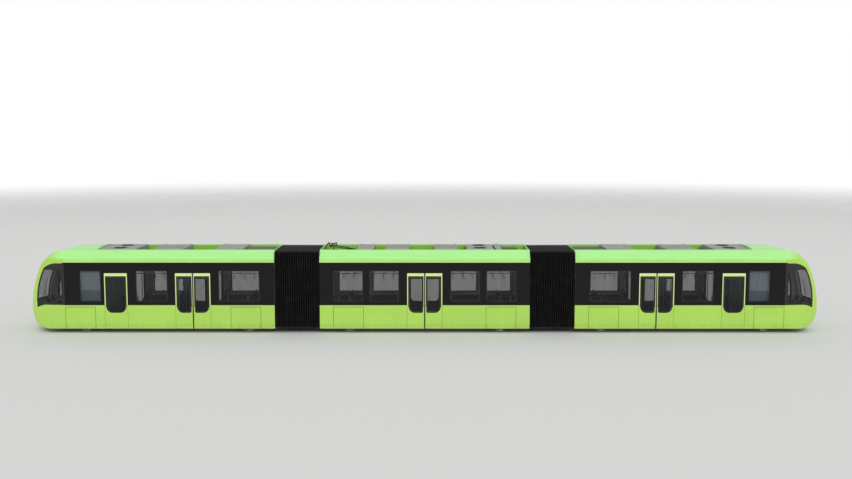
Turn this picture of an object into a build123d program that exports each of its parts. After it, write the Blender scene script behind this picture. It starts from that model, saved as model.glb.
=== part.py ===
from build123d import *
from math import cos, radians, sin, sqrt
import os

os.makedirs("parts", exist_ok=True)

# A three-section low-floor tram: a middle section between two end sections, joined by
# gangways with folded bellows, on six single-axle running gears, with a folded
# single-arm pantograph on the middle section's roof.
# X runs along the tram, Y across it, Z up, in millimetres. The origin lies under the
# middle of the tram, on the floor that the wheel flanges stand on. The end section at
# +X is called fore, the one at -X aft. Aft is the fore section turned half round.

# Overall sizes
WIDTH = 2650.0
MID_HALF_LENGTH = 4155.0
GANGWAY_LENGTH = 1785.0
END_LENGTH = 9880.0

# Heights of the body's cross-section, from the skirt to the crown of the roof
SKIRT_Z = 180.0
TUCK_Z = 350.0
BELT_Z = 1125.0
BAND_TOP_Z = 2825.0
SHOULDER_Z = 2950.0
FAIRING_Z = 3290.0
CROWN_Z = 3390.0
SKIRT_TUCK = 35.0
FAIRING_LEAN = 235.0

# Shells, gaps and glass
WALL = 60.0
PANEL_GAP = 6.0
FIT = 0.3
RUNNING_FIT = 0.05
GLASS = 12.0
GLASS_SINK = 3.0
PANEL_THICK = 30.0
HOOK_THICK = 20.0
HOOK_HEIGHT = 110.0
HOOK_WIDTH = 120.0

# Nose of the end sections
NOSE_LENGTH = 1570.0
FRONT_R = 3000.0
SIDE_R = 4000.0
CORNER_R = 320.0
TIP_Z = 960.0
SCREEN_R = 3980.0
CHIN_R = 1200.0
CHIN_Z = 380.0
CHIN_SETBACK = 520.0
CHIN_MID_SHARE = 0.4167
FOOT_DROP = 240.0
BROW_Z = 2780.0
BROW_SETBACK = 870.0
BROW_MID_SHARE = 0.4717
BROW_TOP_Z = 3150.0
DOME_LENGTH = 1050.0
NOSE_SPARE = 20.0
CEILING_THICK = 40.0
BULKHEAD = 30.0

# Doors, windows and wheel covers
DOUBLE_DOOR = 1400.0
SINGLE_DOOR = 920.0
DOOR_TOP_Z = 2400.0
DOOR_THICK = 45.0
DOOR_FRAME = 62.0
DOOR_GLASS_LOW_Z = 820.0
DOOR_GLASS_TOP_Z = 2215.0
DOOR_GLASS_R = 240.0
WINDOW_LOW_Z = 1260.0
WINDOW_TOP_Z = 2520.0
WINDOW_R = 70.0
COVER_HALF = 600.0
COVER_TOP_Z = 1060.0

# Cab glass and lamps, set back from the tip of the nose
SCREEN_INSET_LOW = 465.0
SCREEN_INSET_TOP = 425.0
SCREEN_LOW_Z = 1120.0
SCREEN_TOP_Z = 2740.0
SCREEN_CORNER_R = 160.0
CAB_GLASS_POST = 50.0
CAB_GLASS_LOW_GAP = 10.0
CAB_GLASS_TOP_GAP = 30.0
LAMP_INSET = 625.0
LAMP_Z = 720.0
LAMP_WIDTH = 300.0
LAMP_HEIGHT = 130.0
LAMP_DEPTH = 45.0

# Underframe and floor
FLOOR_Z = 440.0
FLOOR_THICK = 40.0
SILL_LOW_Z = 230.0
SILL_WIDTH = 120.0
SILL_INSET = 100.0
BOLSTER_WIDTH = 120.0
BOLSTER_REACH = 700.0
END_POST_Y = 780.0
END_POST_THICK = 60.0
FLOOR_FRONT_BACK = 920.0
TOW_LENGTH = 220.0
TOW_WIDTH = 240.0
TOW_BORE_R = 22.0
TOW_BORE_BACK = 80.0

# Running gear
AXLE_Z = 325.0
AXLE_R = 50.0
TREAD_R = 300.0
FLANGE_R = AXLE_Z
FLANGE_BACK_Y = 680.0
FLANGE_BEVEL = 6.0
FLANGE_THICK = 19.0
FLANGE_ROOT = 32.0
TREAD_CONE = 2.0
RIM_WIDTH = 135.0
HUB_R = 115.0
HUB_STEP = 12.0
WHEEL_WEB = 30.0
WEB_OFFSET = 55.0
RIM_DEPTH = 45.0
DISC_R = 200.0
DISC_THICK = 36.0
DISC_GAP = 35.0
BEAM_Y = 520.0
BEAM_WIDTH = 100.0
BEAM_HALF = 440.0
BEAM_LOW_Z = 245.0
CROSS_X = 330.0
CROSS_WIDTH = 80.0
AXLE_BOX_R = 110.0
MOTOR_X = 172.0
MOTOR_Z = 285.0
MOTOR_R = 105.0
MOTOR_LENGTH = 560.0
GEARBOX_Y = 360.0
GEARBOX_WIDTH = 110.0
GEARBOX_R = 64.0
CALIPER_X = 345.0
CALIPER_THICK = 40.0
CALIPER_GRIP = 50.0
CALIPER_HEIGHT = 60.0
PAD_GAP = 6.0
PAD_THICK = 28.0
GEAR_TOP_GAP = 8.0
RING_R = 410.0
RING_WIDTH = 60.0
BAY_HALF = 460.0
BAY_Y = 600.0
PODIUM_Z = 740.0
PODIUM_THICK = 25.0

# Gangways
DISC_FLOOR_R = 850.0
DISC_FLOOR_GAP = 8.0
PIN_R = 60.0
DRAWBAR_WIDTH = 260.0
DRAWBAR_LOW_Z = 245.0
DRAWBAR_THICK = 50.0
HEADSTOCK = 140.0
PIN_EYE_R = 140.0
PLEATS = 20
PLEAT_DEPTH = 60.0
BELLOWS_THICK = 12.0
BELLOWS_LOW_Z = 165.0
BELLOWS_TOP_Z = 3285.0

# Roof
DECK_Z = 2900.0
FAIRING_WALL = 90.0
DOME_BACK = 2830.0
UNIT_GAP = 50.0
UNIT_CHAMFER = 70.0
GROOVE_Y = 330.0
GROOVE_WIDTH = 110.0
GROOVE_DEPTH = 35.0
FAN_R = 260.0
FAN_DEPTH = 60.0
FAN_HUB_R = 75.0
FAN_VANES = 6
FIN_THICK = 18.0
FIN_PITCH = 90.0
TRAY_THICK = 60.0

# Pantograph, about the hinge at the foot of its lower arm
PANTOGRAPH_INSET = 355.0
INSULATOR_R = 32.0
SHED_R = 58.0
SHEDS = 3
INSULATOR_HEIGHT = 110.0
BASE_TUBE = 50.0
BASE_Y = 230.0
BASE_CROSS_Y = 420.0
BASE_FORE = 860.0
BASE_AFT = 120.0
HINGE_RISE = 40.0
HINGE_R = 32.0
HINGE_PIN_R = 18.0
LUG_THICK = 30.0
SPRING_R = 28.0
SPRING_Y = 120.0
SPRING_LENGTH = 560.0
ARM_LENGTH = 1020.0
LOWER_ARM_R = 40.0
UPPER_ARM_R = 20.0
BRACE_R = 14.0
HEAD_BAR_R = 25.0
HEAD_EYE_R = 42.0
LOWER_ANGLE = 5.0
UPPER_ANGLE = 10.0
KNEE_SLEEVE = 180.0
KNEE_Y = 130.0
EYE_THICK = 40.0
HEAD_Y = 280.0
HANGER_Y = 330.0
HANGER_RISE = 60.0
STRIP_X = 150.0
STRIP_WIDTH = 34.0
STRIP_THICK = 26.0
STRIP_HALF = 450.0
HORN_Y = 770.0
HORN_DROP = 190.0

# Saloon and cab fittings
PARTITION_BACK = 3075.0
PARTITION_THICK = 40.0
CAB_FLOOR_Z = 780.0
CAB_FLOOR_BACK = 640.0
WEB_THICK = 30.0
DESK_FOOT = 300.0
DESK_REACH = 320.0
DESK_BACK = 250.0
DESK_DROP = 60.0
SEAT_WIDTH = 565.0
SEAT_DEPTH = 430.0
SEAT_PAD = 60.0
SEAT_RISE = 640.0
SEAT_HEIGHT = 420.0
SEAT_EDGE_R = 22.0
SEAT_REAR_GAP = 135.0
SEAT_DOOR_GAP = 155.0
SEAT_FRONT_GAP = 190.0
KNEE_ROOM = 300.0
DRIVER_SEAT_BACK = 1150.0
DRIVER_SEAT_WIDTH = 520.0
DRIVER_POST = 180.0
RAIL_R = 17.0
RAIL_INSET = 110.0
RAIL_Z = 2300.0

SIDE = WIDTH / 2
INNER = SIDE - WALL
END_INNER = MID_HALF_LENGTH + GANGWAY_LENGTH
NOSE_X = END_INNER + END_LENGTH
TAPER_X = NOSE_X - NOSE_LENGTH
PIVOT_X = MID_HALF_LENGTH + GANGWAY_LENGTH / 2
PARTITION_X = NOSE_X - PARTITION_BACK
FLOOR_FRONT_X = NOSE_X - FLOOR_FRONT_BACK
CAB_FLOOR_FRONT_X = NOSE_X - CAB_FLOOR_BACK
FLOOR_LOW_Z = FLOOR_Z - FLOOR_THICK
FAIRING_HALF = SIDE - FAIRING_LEAN
WELL_HALF = FAIRING_HALF - FAIRING_WALL
UNIT_HALF = WELL_HALF - UNIT_GAP
DOME_X = NOSE_X - DOME_BACK
SEAT_Y = INNER - SEAT_WIDTH
RAIL_Y = SEAT_Y - RAIL_INSET
INNER_AXLE = END_INNER + 1145.0
OUTER_AXLE = NOSE_X - 2190.0
MID_AXLE = MID_HALF_LENGTH - 1135.0

# Axles: name, place along the tram, section that they carry
AXLES = [
    ("aft_outer", -OUTER_AXLE, "aft"),
    ("aft_inner", -INNER_AXLE, "aft"),
    ("mid_aft", -MID_AXLE, "mid"),
    ("mid_fore", MID_AXLE, "mid"),
    ("fore_inner", INNER_AXLE, "fore"),
    ("fore_outer", OUTER_AXLE, "fore"),
]
MID_AXLES = [x for _, x, car in AXLES if car == "mid"]
FORE_AXLES = [x for _, x, car in AXLES if car == "fore"]

# Doors: centre, width, leaves
MID_DOORS = [(0.0, DOUBLE_DOOR, 2)]
FORE_DOORS = [(END_INNER + 3225.0, DOUBLE_DOOR, 2), (NOSE_X - 3610.0, SINGLE_DOOR, 1)]
DOOR_EDGES = [(x - width / 2, x + width / 2) for x, width, _ in FORE_DOORS]

# Windows: from, to
MID_WINDOWS = [
    (-MID_HALF_LENGTH + 525.0, -MID_HALF_LENGTH + 1735.0),
    (-MID_HALF_LENGTH + 1955.0, -DOUBLE_DOOR / 2 - 300.0),
    (DOUBLE_DOOR / 2 + 300.0, MID_HALF_LENGTH - 1955.0),
    (MID_HALF_LENGTH - 1735.0, MID_HALF_LENGTH - 525.0),
]
FORE_WINDOWS = [
    (END_INNER + 570.0, DOOR_EDGES[0][0] - 305.0),
    (DOOR_EDGES[0][1] + 285.0, DOOR_EDGES[1][0] - 330.0),
    (PARTITION_X + 35.0, OUTER_AXLE),
]

# Roof units: from, to, height of the top, kind
MID_UNITS = [
    (-MID_HALF_LENGTH + 1455.0, -MID_HALF_LENGTH + 2125.0, 3320.0, "plain"),
    (-MID_HALF_LENGTH + 2565.0, -MID_HALF_LENGTH + 3545.0, 3310.0, "grooved"),
    (MID_HALF_LENGTH - 3775.0, MID_HALF_LENGTH - 2825.0, 3310.0, "grooved"),
    (MID_HALF_LENGTH - 2475.0, MID_HALF_LENGTH - 1405.0, 3320.0, "fans"),
    (MID_HALF_LENGTH - 1325.0, MID_HALF_LENGTH - 1095.0, 3320.0, "plain"),
    (MID_HALF_LENGTH - 1075.0, MID_HALF_LENGTH - 355.0, 3240.0, "fins"),
]
COVER_END = END_INNER + 2410.0
COOLER_START = DOME_X - 1500.0
HEATER_LENGTH = 1180.0
HEATER_START = COVER_END + 0.65 * (COOLER_START - COVER_END - HEATER_LENGTH)
FORE_UNITS = [
    (END_INNER + 160.0, END_INNER + 1240.0, 3240.0, "fins"),
    (END_INNER + 1300.0, COVER_END, 3320.0, "plain"),
    (HEATER_START, HEATER_START + HEATER_LENGTH, 3310.0, "grooved"),
    (COOLER_START, DOME_X - 30.0, 3320.0, "fans"),
]

# Seats: back's foot along the tram, way it faces, height of what it stands over
MID_SEATS = [
    (-MID_AXLE, -1, PODIUM_Z), (-MID_AXLE, 1, PODIUM_Z), (-DOUBLE_DOOR / 2 - 350.0, -1, FLOOR_Z),
    (DOUBLE_DOOR / 2 + 350.0, 1, FLOOR_Z), (MID_AXLE, -1, PODIUM_Z), (MID_AXLE, 1, PODIUM_Z),
]
FORE_SEATS = [
    (INNER_AXLE, -1, PODIUM_Z), (INNER_AXLE, 1, PODIUM_Z),
    (DOOR_EDGES[0][0] - SEAT_REAR_GAP, -1, FLOOR_Z), (DOOR_EDGES[0][1] + SEAT_DOOR_GAP, 1, FLOOR_Z),
]
# A last row faces that one where there is room for knees between them
LAST_SEAT_X = DOOR_EDGES[1][0] - SEAT_FRONT_GAP
if LAST_SEAT_X - FORE_SEATS[-1][0] - 2 * SEAT_DEPTH >= KNEE_ROOM:
    FORE_SEATS.append((LAST_SEAT_X, -1, FLOOR_Z))

# Fore rim of the cab's side glass: distance behind the tip, height from the glass's low
# edge for the first three, from its top edge for the others
CAB_GLASS_CHIN = [(900.0, 0.0), (640.0, -30.0), (430.0, -125.0)]
CAB_GLASS_BROW = [(470.0, -995.0), (760.0, -195.0), (1000.0, -50.0), (1300.0, 0.0)]


def block(x0, x1, y0, y1, z0, z1):
    """Box between two corners."""
    centre = Pos((x0 + x1) / 2, (y0 + y1) / 2, (z0 + z1) / 2)
    return centre * Box(x1 - x0, y1 - y0, z1 - z0)


def both_sides(part):
    """Part and its twin on the other side of the tram."""
    return part + mirror(part, about=Plane.XZ)


def half_turned(part):
    """Part of the fore section, turned round to the aft section."""
    return Rot(0, 0, 180) * part


def side_at(z):
    """Half-width of the body's outside at a height below the shoulder."""
    if z >= TUCK_Z:
        return SIDE
    return SIDE - SKIRT_TUCK * (TUCK_Z - z) / (TUCK_Z - SKIRT_Z)


def wall(x0, x1, z0, z1, depth=WALL, sink=0.0):
    """Stretch of the +Y side wall, its outside on the body's section."""
    heights = [z0] + ([TUCK_Z] if z0 < TUCK_Z < z1 else []) + [z1]
    outside = [(side_at(z) - sink, z) for z in heights]
    inside = [(side_at(z) - depth, z) for z in reversed(heights)]
    face = make_face(Polyline(*outside, *inside, outside[0]))
    return extrude(Pos(x0, 0, 0) * (Plane.YZ * face), amount=x1 - x0)


def pane_tool(x0, x1, z0, z1, radius, low_radii=None, shrink=0.0):
    """Prism across the whole tram in the shape of a window, seen from the side."""
    shape = Rectangle(x1 - x0 - 2 * shrink, z1 - z0 - 2 * shrink)
    aft_low, fore_low = low_radii or (radius, radius)
    shape = fillet(shape.vertices().group_by(Axis.Y)[-1], radius)
    shape = fillet(shape.vertices().group_by(Axis.Y)[0].sort_by(Axis.X)[0], aft_low)
    shape = fillet(shape.vertices().group_by(Axis.Y)[0].sort_by(Axis.X)[-1], fore_low)
    face = Plane.XZ * (Pos((x0 + x1) / 2, (z0 + z1) / 2) * shape)
    return extrude(face, amount=WIDTH, both=True)


def section_face(inset=0.0, spare=0.0):
    """Cross-section of the body, or the hollow inside it, its upright sides pushed out by spare."""
    tuck_z = TUCK_Z + spare * (TUCK_Z - SKIRT_Z) / SKIRT_TUCK
    shoulder_z = SHOULDER_Z - spare * (FAIRING_Z - SHOULDER_Z) / FAIRING_LEAN
    half = [
        (SIDE - SKIRT_TUCK, SKIRT_Z), (SIDE + spare, tuck_z),
        (SIDE + spare, shoulder_z), (FAIRING_HALF, FAIRING_Z),
    ]
    points = [(-y, z) for y, z in reversed(half)] + half
    face = make_face(Polyline(*points) + ThreePointArc(points[-1], (0, CROWN_Z), points[0]))
    return offset(face, -inset, kind=Kind.INTERSECTION) if inset else face


def setback(z):
    """How far the nose lies behind its tip, at a height between chin and brow."""
    radius = SCREEN_R if z > TIP_Z else CHIN_R
    return radius - sqrt(radius**2 - (z - TIP_Z)**2)


def plan_face(tip, z, inset=0.0):
    """Level cut through the nose: side arcs, corner arcs and a front arc, all tangent."""
    half, front_r = SIDE - inset, FRONT_R - inset
    side_r, corner_r = SIDE_R - inset, CORNER_R - inset
    reach = tip - inset
    front_c = Vector(reach - front_r, 0)
    side_c = Vector(TAPER_X, half - side_r)
    gap = side_c - front_c
    run = ((front_r - corner_r)**2 - (side_r - corner_r)**2 + gap.length**2) / (2 * gap.length)
    rise = sqrt((front_r - corner_r)**2 - run**2)
    unit = gap.normalized()
    corner_c = front_c + unit * run - Vector(-unit.Y, unit.X) * rise
    if corner_c.Y < 0:
        corner_c = front_c + unit * run + Vector(-unit.Y, unit.X) * rise
    front_end = front_c + (corner_c - front_c).normalized() * front_r
    side_end = side_c + (corner_c - side_c).normalized() * side_r
    start = Vector(TAPER_X, half)
    outward = (front_end - corner_c) + (side_end - corner_c)
    corner_mid = corner_c + outward.normalized() * corner_r
    side_mid = side_c + ((start - side_c) + (side_end - side_c)).normalized() * side_r
    back = TAPER_X - 2 * WALL

    def far(point):
        return Vector(point.X, -point.Y)

    rim = (
        Polyline((back, -half), far(start))
        + ThreePointArc(far(start), far(side_mid), far(side_end))
        + ThreePointArc(far(side_end), far(corner_mid), far(front_end))
        + ThreePointArc(far(front_end), (reach, 0), front_end)
        + ThreePointArc(front_end, corner_mid, side_end)
        + ThreePointArc(side_end, side_mid, start)
        + Polyline(start, (back, half), (back, -half))
    )
    return Pos(0, 0, z) * make_face(rim)


def above_slope(inset=0.0):
    """Space over the slope that runs from the crest of the dome down to the brow."""
    slope_x = NOSE_X - BROW_SETBACK - inset
    fall = (CROWN_Z - inset - BROW_TOP_Z) / DOME_LENGTH
    back_x, front_x = slope_x - DOME_LENGTH - 2 * WALL, slope_x + 2 * WALL
    back_z, front_z = (BROW_TOP_Z + (slope_x - x) * fall for x in (back_x, front_x))
    face = make_face(Polyline(
        (back_x, back_z), (front_x, front_z), (front_x, 2 * CROWN_Z), (back_x, 2 * CROWN_Z),
        (back_x, back_z),
    ))
    return extrude(Plane.XZ * face, amount=WIDTH, both=True)


def nose_body(inset=0.0):
    """Solid of the whole nose in front of the straight body, or the hollow inside it."""
    heights = [CHIN_Z, (CHIN_Z + TIP_Z) / 2, TIP_Z]
    heights += [TIP_Z + (BROW_Z - TIP_Z) * share for share in (1 / 3, 2 / 3, 1)]
    front = loft([plan_face(NOSE_X - setback(z), z, inset) for z in heights])
    chin_back = setback(CHIN_Z)
    foot_z = SKIRT_Z - FOOT_DROP if inset else SKIRT_Z
    chin = loft([
        plan_face(NOSE_X - CHIN_SETBACK, foot_z, inset),
        plan_face(
            NOSE_X - (CHIN_SETBACK + chin_back) * CHIN_MID_SHARE, (SKIRT_Z + CHIN_Z) / 2, inset),
        plan_face(NOSE_X - chin_back, CHIN_Z, inset),
    ])
    brow_back = setback(BROW_Z)
    brow_mid = (BROW_Z + BROW_TOP_Z) / 2
    brow = loft([
        plan_face(NOSE_X - brow_back, BROW_Z, inset),
        plan_face(NOSE_X - (brow_back + BROW_SETBACK) * BROW_MID_SHARE, brow_mid, inset),
        plan_face(NOSE_X - BROW_SETBACK, BROW_TOP_Z, inset),
    ])
    dome = extrude(plan_face(NOSE_X - BROW_SETBACK, BROW_TOP_Z, inset), CROWN_Z - BROW_TOP_Z)
    dome -= above_slope(inset)
    length = NOSE_LENGTH + 2 * WALL
    across = extrude(Pos(TAPER_X - 2 * WALL, 0, 0) * (Plane.YZ * nose_section(inset)), length)
    return (front + chin + brow + dome) & across


def nose_section(inset):
    """Cross-section that trims the nose's foot and roof, open at the foot of the hollow."""
    face = section_face(inset, NOSE_SPARE)
    if not inset:
        return face
    foot = side_at(SKIRT_Z) - inset
    return face + make_face(Polyline(
        (-foot, 0), (foot, 0), (foot, SKIRT_Z + 2 * inset), (-foot, SKIRT_Z + 2 * inset),
        (-foot, 0),
    ))


def door_leaves(doors):
    """Spans of the door leaves: from, to, radii of the glass's low corners."""
    spans = []
    for centre, width, leaves in doors:
        low, high = centre - width / 2 + PANEL_GAP, centre + width / 2 - PANEL_GAP
        if leaves == 1:
            spans.append((low, high, (DOOR_GLASS_R, DOOR_GLASS_R)))
            continue
        spans.append((low, centre - PANEL_GAP / 2, (DOOR_GLASS_R, WINDOW_R)))
        spans.append((centre + PANEL_GAP / 2, high, (WINDOW_R, DOOR_GLASS_R)))
    return spans


def hook(x, top_z):
    """Bracket at the top of a leaf or cover, which reaches up behind the wall."""
    back = INNER - FIT
    return block(
        x - HOOK_WIDTH / 2, x + HOOK_WIDTH / 2, back - HOOK_THICK, back,
        top_z - HOOK_HEIGHT / 2, top_z + HOOK_HEIGHT / 2,
    ) + block(
        x - HOOK_WIDTH / 2, x + HOOK_WIDTH / 2, back - HOOK_THICK, SIDE - PANEL_THICK + 1,
        top_z - HOOK_HEIGHT / 2, top_z - PANEL_GAP,
    )


def make_doors(doors):
    """Door leaves of both sides, and their glass."""
    leaves, panes = Part(), Part()
    for low, high, low_radii in door_leaves(doors):
        hole = (low + DOOR_FRAME, high - DOOR_FRAME, DOOR_GLASS_LOW_Z, DOOR_GLASS_TOP_Z)
        leaf = wall(low, high, SKIRT_Z, DOOR_TOP_Z, DOOR_THICK)
        leaf += hook((low + high) / 2, DOOR_TOP_Z)
        leaves += both_sides(leaf - pane_tool(*hole, WINDOW_R, low_radii))
        sheet = wall(low, high, SKIRT_Z, DOOR_TOP_Z, GLASS + GLASS_SINK, GLASS_SINK)
        panes += both_sides(sheet & pane_tool(*hole, WINDOW_R, low_radii, FIT))
    return leaves, panes


def make_covers(axles):
    """Wheel covers of both sides."""
    covers = Part()
    for x in axles:
        low, high = x - COVER_HALF + PANEL_GAP, x + COVER_HALF - PANEL_GAP
        cover = wall(low, high, SKIRT_Z, COVER_TOP_Z - PANEL_GAP, PANEL_THICK)
        for share in (-0.6, 0.6):
            cover += hook(x + share * COVER_HALF, COVER_TOP_Z - PANEL_GAP)
        covers += both_sides(cover)
    return covers


def make_lower_wall(x0, x1, doors, axles):
    """Lower side walls, cut out for the doors and the wheel covers."""
    side = wall(x0, x1, SKIRT_Z, BELT_Z)
    for centre, width, _ in doors:
        side -= block(centre - width / 2, centre + width / 2, 0, WIDTH, 0, CROWN_Z)
    for x in axles:
        side -= block(x - COVER_HALF, x + COVER_HALF, 0, WIDTH, 0, COVER_TOP_Z)
    return both_sides(side)


def make_band(x0, x1, doors, windows):
    """Window band of both sides, and its glass."""
    side = wall(x0, x1, BELT_Z, BAND_TOP_Z)
    for centre, width, _ in doors:
        side -= block(
            centre - width / 2, centre + width / 2, 0, WIDTH, 0, DOOR_TOP_Z + PANEL_GAP)
    panes = Part()
    sheet = wall(x0, x1, BELT_Z, BAND_TOP_Z, GLASS + GLASS_SINK, GLASS_SINK)
    for low, high in windows:
        side -= pane_tool(low, high, WINDOW_LOW_Z, WINDOW_TOP_Z, WINDOW_R)
        panes += both_sides(
            sheet & pane_tool(low, high, WINDOW_LOW_Z, WINDOW_TOP_Z, WINDOW_R, None, FIT))
    return both_sides(side), panes


def make_roof(x0, x1, dome_x=None):
    """Roof deck between its fairings, a bulkhead at each gangway, and the dome behind the nose."""
    above = Pos(0, (BAND_TOP_Z + CROWN_Z) / 2) * Rectangle(2 * WIDTH, CROWN_Z - BAND_TOP_Z)
    roof = extrude(Pos(x0, 0, 0) * (Plane.YZ * (section_face() & above)), amount=x1 - x0)
    roof -= block(x0 - 1, dome_x or x1 + 1, -WELL_HALF, WELL_HALF, FAIRING_Z, CROWN_Z + 1)
    roof -= block(
        x0 + BULKHEAD, dome_x or x1 - BULKHEAD, -WELL_HALF, WELL_HALF, DECK_Z, FAIRING_Z + 1)
    if dome_x:
        hollow = section_face(WALL) & (
            Pos(0, (DECK_Z + CROWN_Z) / 2) * Rectangle(2 * WIDTH, CROWN_Z - DECK_Z))
        hollow = extrude(Pos(dome_x + WALL, 0, 0) * (Plane.YZ * hollow), x1 - dome_x)
        roof = roof - above_slope() - (hollow - above_slope(WALL))
    return roof


def make_cover(low, high, top_z, kind):
    """Cover over roof equipment: chamfered along its top, with grooves or fans in it."""
    half, edge_z = UNIT_HALF, top_z - UNIT_CHAMFER
    rim = [
        (-half, DECK_Z), (-half, edge_z), (-half + UNIT_CHAMFER, top_z),
        (half - UNIT_CHAMFER, top_z), (half, edge_z), (half, DECK_Z), (-half, DECK_Z),
    ]
    cover = extrude(Pos(low, 0, 0) * (Plane.YZ * make_face(Polyline(*rim))), amount=high - low)
    if kind == "grooved":
        for y in (-GROOVE_Y, 0, GROOVE_Y):
            cover -= block(
                low - 1, high + 1, y - GROOVE_WIDTH / 2, y + GROOVE_WIDTH / 2,
                top_z - GROOVE_DEPTH, top_z + 1)
    if kind == "fans":
        for way in (-1, 1):
            cover -= Pos((low + high) / 2, way * half / 2, top_z - FAN_DEPTH) * make_fan_well()
    return cover


def make_fan_well():
    """Round well of one roof fan, around its hub and straight vanes, from the well's foot."""
    place = Pos(0, 0, FAN_DEPTH / 2)
    well = Cylinder(FAN_R, FAN_DEPTH) - Cylinder(FAN_HUB_R, FAN_DEPTH)
    for number in range(FAN_VANES):
        vane = Pos(FAN_R / 2, 0, 0) * Box(FAN_R, FIN_THICK, FAN_DEPTH)
        well -= Rot(0, 0, number * 360 / FAN_VANES) * vane
    return place * well


def make_fins(low, high, top_z):
    """Brake resistor: upright plates in a row on a tray."""
    rack = block(low, high, -UNIT_HALF, UNIT_HALF, DECK_Z, DECK_Z + TRAY_THICK)
    count = int((high - low) / FIN_PITCH)
    start = (low + high - (count - 1) * FIN_PITCH) / 2
    for number in range(count):
        x = start + number * FIN_PITCH
        rack += block(
            x - FIN_THICK / 2, x + FIN_THICK / 2, -UNIT_HALF + UNIT_GAP, UNIT_HALF - UNIT_GAP,
            DECK_Z + TRAY_THICK, top_z)
    return rack


def make_units(units):
    """Covers and resistors that stand on the roof deck."""
    made = Part()
    for low, high, top_z, kind in units:
        made += make_fins(low, high, top_z) if kind == "fins" else make_cover(
            low, high, top_z, kind)
    return made


def across(radius, length, x=0.0, y=0.0, z=0.0):
    """Round bar that lies across the tram."""
    return Pos(x, y, z) * (Rot(90, 0, 0) * Cylinder(radius, length))


def bar_between(start, end, radius):
    """Round bar from one point to another."""
    return sweep(Circle(radius).locate(Plane(start, z_dir=end - start).location), Line(start, end))


HINGE = Vector(
    -MID_HALF_LENGTH + PANTOGRAPH_INSET, 0,
    DECK_Z + INSULATOR_HEIGHT + BASE_TUBE + HINGE_RISE)
KNEE = HINGE + Vector(cos(radians(LOWER_ANGLE)), 0, sin(radians(LOWER_ANGLE))) * ARM_LENGTH
HEAD = KNEE + Vector(-cos(radians(UPPER_ANGLE)), 0, sin(radians(UPPER_ANGLE))) * ARM_LENGTH


def make_insulator():
    """Ribbed insulator that carries one corner of the pantograph."""
    pitch = INSULATOR_HEIGHT / (2 * SHEDS + 1)
    rim = [(0, 0), (INSULATOR_R, 0)]
    for number in range(SHEDS):
        foot = (2 * number + 1) * pitch
        rim += [(INSULATOR_R, foot), (SHED_R, foot + pitch / 3), (INSULATOR_R, foot + pitch)]
    rim += [(INSULATOR_R, INSULATOR_HEIGHT), (0, INSULATOR_HEIGHT), (0, 0)]
    return revolve(Plane.XZ * make_face(Polyline(*rim)), axis=Axis.Z)


def make_pantograph_base():
    """Frame on four insulators, with the lugs and pin of the lower arm and its springs."""
    low_z = DECK_Z + INSULATOR_HEIGHT
    top_z, half = low_z + BASE_TUBE, BASE_TUBE / 2
    aft, fore = HINGE.X - BASE_AFT, HINGE.X + BASE_FORE
    base = both_sides(block(aft, fore, BASE_Y - half, BASE_Y + half, low_z, top_z))
    for x in (aft + half, fore - half):
        base += block(x - half, x + half, -BASE_CROSS_Y - half, BASE_CROSS_Y + half, low_z, top_z)
        base += both_sides(Pos(x, BASE_CROSS_Y, DECK_Z) * make_insulator())
    lug = block(
        HINGE.X - HINGE_R, HINGE.X + HINGE_R, BASE_Y - LUG_THICK / 2, BASE_Y + LUG_THICK / 2,
        top_z, HINGE.Z)
    lug += across(HINGE_R, LUG_THICK, HINGE.X, BASE_Y, HINGE.Z)
    base += both_sides(lug) + across(HINGE_PIN_R, 2 * BASE_Y, HINGE.X, 0, HINGE.Z)
    spring = Pos(fore - SPRING_LENGTH / 2, SPRING_Y, low_z + half) * (
        Rot(0, 90, 0) * Cylinder(SPRING_R, SPRING_LENGTH))
    return base + both_sides(spring)


def make_lower_arm():
    """Lower arm with its hinge sleeve, knee sleeve and knee pin."""
    sleeve = 2 * (BASE_Y - LUG_THICK / 2 - PANEL_GAP)
    arm = across(HINGE_R, sleeve, HINGE.X, 0, HINGE.Z)
    arm += across(HINGE_R, KNEE_SLEEVE, KNEE.X, 0, KNEE.Z)
    arm += bar_between(HINGE, KNEE, LOWER_ARM_R)
    arm -= across(HINGE_PIN_R + RUNNING_FIT, WIDTH, HINGE.X, 0, HINGE.Z)
    return arm + across(HINGE_PIN_R, 2 * KNEE_Y + EYE_THICK, KNEE.X, 0, KNEE.Z)


def make_upper_arm():
    """Upper arm: two bars that spread from the knee's eyes to the head's cross bar."""
    arm = Part()
    for way in (-1, 1):
        eye, end = KNEE + Vector(0, way * KNEE_Y, 0), HEAD + Vector(0, way * HEAD_Y, 0)
        arm += across(HINGE_R, EYE_THICK, eye.X, eye.Y, eye.Z)
        arm += bar_between(eye, end, UPPER_ARM_R)
    arm += across(HEAD_BAR_R, 2 * (HANGER_Y + EYE_THICK), HEAD.X, 0, HEAD.Z)
    middle = (KNEE + HEAD) * 0.5
    arm += across(BRACE_R, KNEE_Y + HEAD_Y, middle.X, 0, middle.Z)
    return arm - across(HINGE_PIN_R + RUNNING_FIT, WIDTH, KNEE.X, 0, KNEE.Z)


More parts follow.
